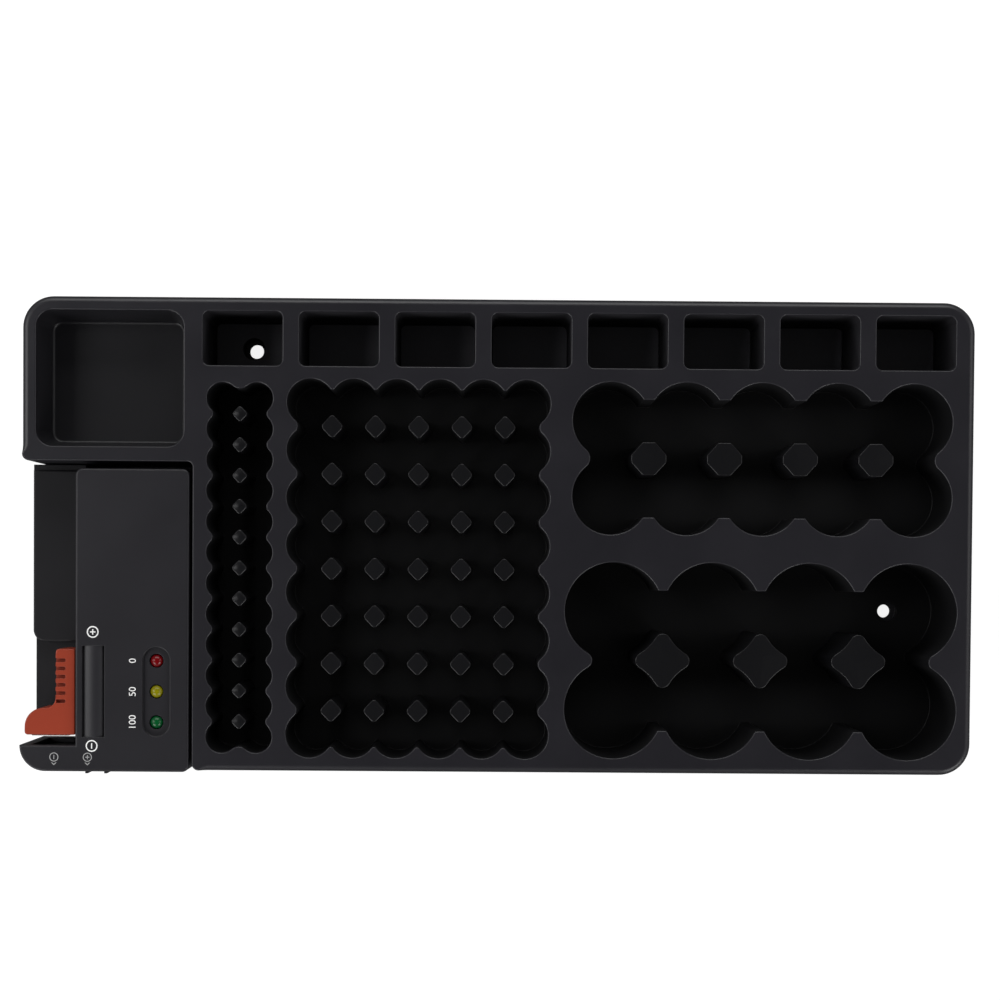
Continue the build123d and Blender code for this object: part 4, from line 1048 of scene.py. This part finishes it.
def addNumber(shape, text, x, y):
    # figures read from the right-hand side, centred on their lamp
    curve = bpy.data.curves.new("figure", "FONT")
    curve.body = text
    curve.size = marks["numberHeight"] / marks["capShare"]
    curve.align_x = "CENTER"
    figure = bpy.data.objects.new("figure", curve)
    bpy.context.scene.collection.objects.link(figure)
    bpy.context.view_layer.update()
    graph = bpy.context.evaluated_depsgraph_get()
    mesh = bpy.data.meshes.new_from_object(figure.evaluated_get(graph))
    start = len(shape["points"])
    for vertex in mesh.vertices:
        u, v = vertex.co.x, vertex.co.y
        addPoint(shape, (x + marks["numberHeight"] / 2 - v, y + u, marks["z"]), (0, 0, 1))
    for polygon in mesh.polygons:
        shape["faces"].append(tuple(start + index for index in polygon.vertices))
    bpy.data.objects.remove(figure)
    bpy.data.curves.remove(curve)
    bpy.data.meshes.remove(mesh)


def addArrow(shape, x, y):
    # an open V that points to the front
    half, rise, width = marks["arrowHalf"], marks["arrowRise"], marks["thin"] * 1.4
    addFlatLoop(shape, roundedLoop([
        (x - half, y + rise / 2, 0.02), (x, y - rise / 2, 0.02), (x + half, y + rise / 2, 0.02),
        (x + half - width, y + rise / 2, 0.02), (x, y - rise / 2 + width, 0.02),
        (x - half + width, y + rise / 2, 0.02)]))


def buildMarks():
    shape = newShape()
    for sign, left, y, radius in marks["large"]:
        addMark(shape, sign, lampX + left, y, radius, marks["thick"])
    for text, left, y in marks["numbers"]:
        addNumber(shape, text, lampX + left, y)
    faintStart = len(shape["faces"])
    for sign, left, y, radius in marks["small"]:
        addMark(shape, sign, lampX + left, y, radius, marks["thin"])
    for left, y in marks["arrows"]:
        addArrow(shape, lampX + left, y)
    finishFrom(shape, faintStart, 1)
    return shape


makePiece("faceMarks", buildMarks(), ["markInk", "faintInk"], "tester")

# floor, light and camera
stageLook = {"floorSize": 8.0, "diffuse": 0.22, "glow": 0.88, "bounce": 0.14,
             "horizon": 0.9, "zenith": 0.10, "skyFrom": 0.05, "skyTo": 0.75,
             "aim": (0, 0, 0.03)}
softBoxes = {  # place in metres, size, radiance
    "left": dict(place=(-1.15, 0.15, 0.95), size=(0.7, 1.0), radiance=3.4),
    "back": dict(place=(0.0, 1.25, 0.85), size=(1.5, 0.7), radiance=3.8),
    "frontLeft": dict(place=(-0.95, -1.05, 0.75), size=(0.9, 0.7), radiance=6.0),
    "frontRight": dict(place=(0.95, -1.05, 0.75), size=(0.9, 0.7), radiance=5.0),
    "right": dict(place=(1.25, 0.2, 0.9), size=(0.6, 0.9), radiance=1.9),
}
cameraLook = {"place": (-0.00198, -0.01162, 0.73667), "lens": 70.75, "tilt": -1.412,
              "roll": -0.264, "turn": 0.413, "shiftY": 0.12}


def buildFloor():
    half = stageLook["floorSize"] / 2
    mesh = bpy.data.meshes.new("floor")
    mesh.from_pydata([(-half, -half, 0), (half, -half, 0), (half, half, 0), (-half, half, 0)],
                     [], [(0, 1, 2, 3)])
    floor = bpy.data.objects.new("floor", mesh)
    bpy.context.scene.collection.objects.link(floor)
    material = bpy.data.materials.new("paleFloor")
    material.use_nodes = True
    tree = material.node_tree
    tree.nodes.clear()
    out = addNode(tree, "ShaderNodeOutputMaterial", 600, 0)
    rays = addNode(tree, "ShaderNodeLightPath", -700, 200).outputs
    seen = mathNode(tree, "MAXIMUM", (rays["Is Camera Ray"], rays["Is Transmission Ray"]),
                    -280, 200)
    bounce = addNode(tree, "ShaderNodeBsdfDiffuse", -100, -160)
    bounce.inputs["Color"].default_value = (*[stageLook["bounce"]] * 3, 1)
    thin = addNode(tree, "ShaderNodeBsdfDiffuse", -100, -20)
    thin.inputs["Color"].default_value = (*[stageLook["diffuse"]] * 3, 1)
    glow = addNode(tree, "ShaderNodeEmission", -100, 120)
    glow.inputs["Strength"].default_value = stageLook["glow"]
    bright = addNode(tree, "ShaderNodeAddShader", 120, 60)
    blend = addNode(tree, "ShaderNodeMixShader", 360, 0)
    for source, target in ((thin, bright.inputs[0]), (glow, bright.inputs[1]),
                           (bounce, blend.inputs[1]), (bright, blend.inputs[2]),
                           (blend, out.inputs["Surface"])):
        tree.links.new(source.outputs[0], target)
    tree.links.new(seen, blend.inputs["Fac"])
    mesh.materials.append(material)


def buildWorld():
    world = bpy.data.worlds.new("studioAir")
    world.use_nodes = True
    tree = world.node_tree
    tree.nodes.clear()
    out = addNode(tree, "ShaderNodeOutputWorld", 500, 0)
    back = addNode(tree, "ShaderNodeBackground", 280, 0)
    direction = addNode(tree, "ShaderNodeTexCoord", -500, 0)
    parts = addNode(tree, "ShaderNodeSeparateXYZ", -300, 0)
    level = addNode(tree, "ShaderNodeMapRange", -60, 0, interpolation_type="SMOOTHSTEP")
    level.inputs["From Min"].default_value = stageLook["skyFrom"]
    level.inputs["From Max"].default_value = stageLook["skyTo"]
    level.inputs["To Min"].default_value = stageLook["horizon"]
    level.inputs["To Max"].default_value = stageLook["zenith"]
    tree.links.new(direction.outputs["Generated"], parts.inputs[0])
    tree.links.new(parts.outputs["Z"], level.inputs["Value"])
    tree.links.new(level.outputs[0], back.inputs["Strength"])
    tree.links.new(back.outputs[0], out.inputs["Surface"])
    bpy.context.scene.world = world


def buildLights():
    for name, box in softBoxes.items():
        light = bpy.data.lights.new(name + "Softbox", "AREA")
        light.shape = "RECTANGLE"
        light.size, light.size_y = box["size"]
        light.energy = box["radiance"] * math.pi * box["size"][0] * box["size"][1]
        lamp = bpy.data.objects.new(name + "Softbox", light)
        lamp.location = box["place"]
        aim = Vector(stageLook["aim"]) - Vector(box["place"])
        lamp.rotation_euler = aim.to_track_quat("-Z", "Y").to_euler()
        bpy.context.scene.collection.objects.link(lamp)


def buildCamera():
    data = bpy.data.cameras.new("camera")
    data.sensor_width = 36.0
    data.lens = cameraLook["lens"]
    data.shift_y = cameraLook["shiftY"]
    data.clip_start, data.clip_end = 0.05, 50.0
    camera = bpy.data.objects.new("camera", data)
    turn = Matrix.Rotation(math.radians(cameraLook["turn"]), 4, "Z")
    roll = Matrix.Rotation(math.radians(cameraLook["roll"]), 4, "Y")
    tilt = Matrix.Rotation(math.radians(cameraLook["tilt"]), 4, "X")
    camera.matrix_world = Matrix.Translation(cameraLook["place"]) @ turn @ roll @ tilt
    bpy.context.scene.collection.objects.link(camera)
    bpy.context.scene.camera = camera


buildFloor()
buildWorld()
buildLights()
buildCamera()
bpy.context.scene.view_settings.view_transform = "Standard"
print("stage ready")
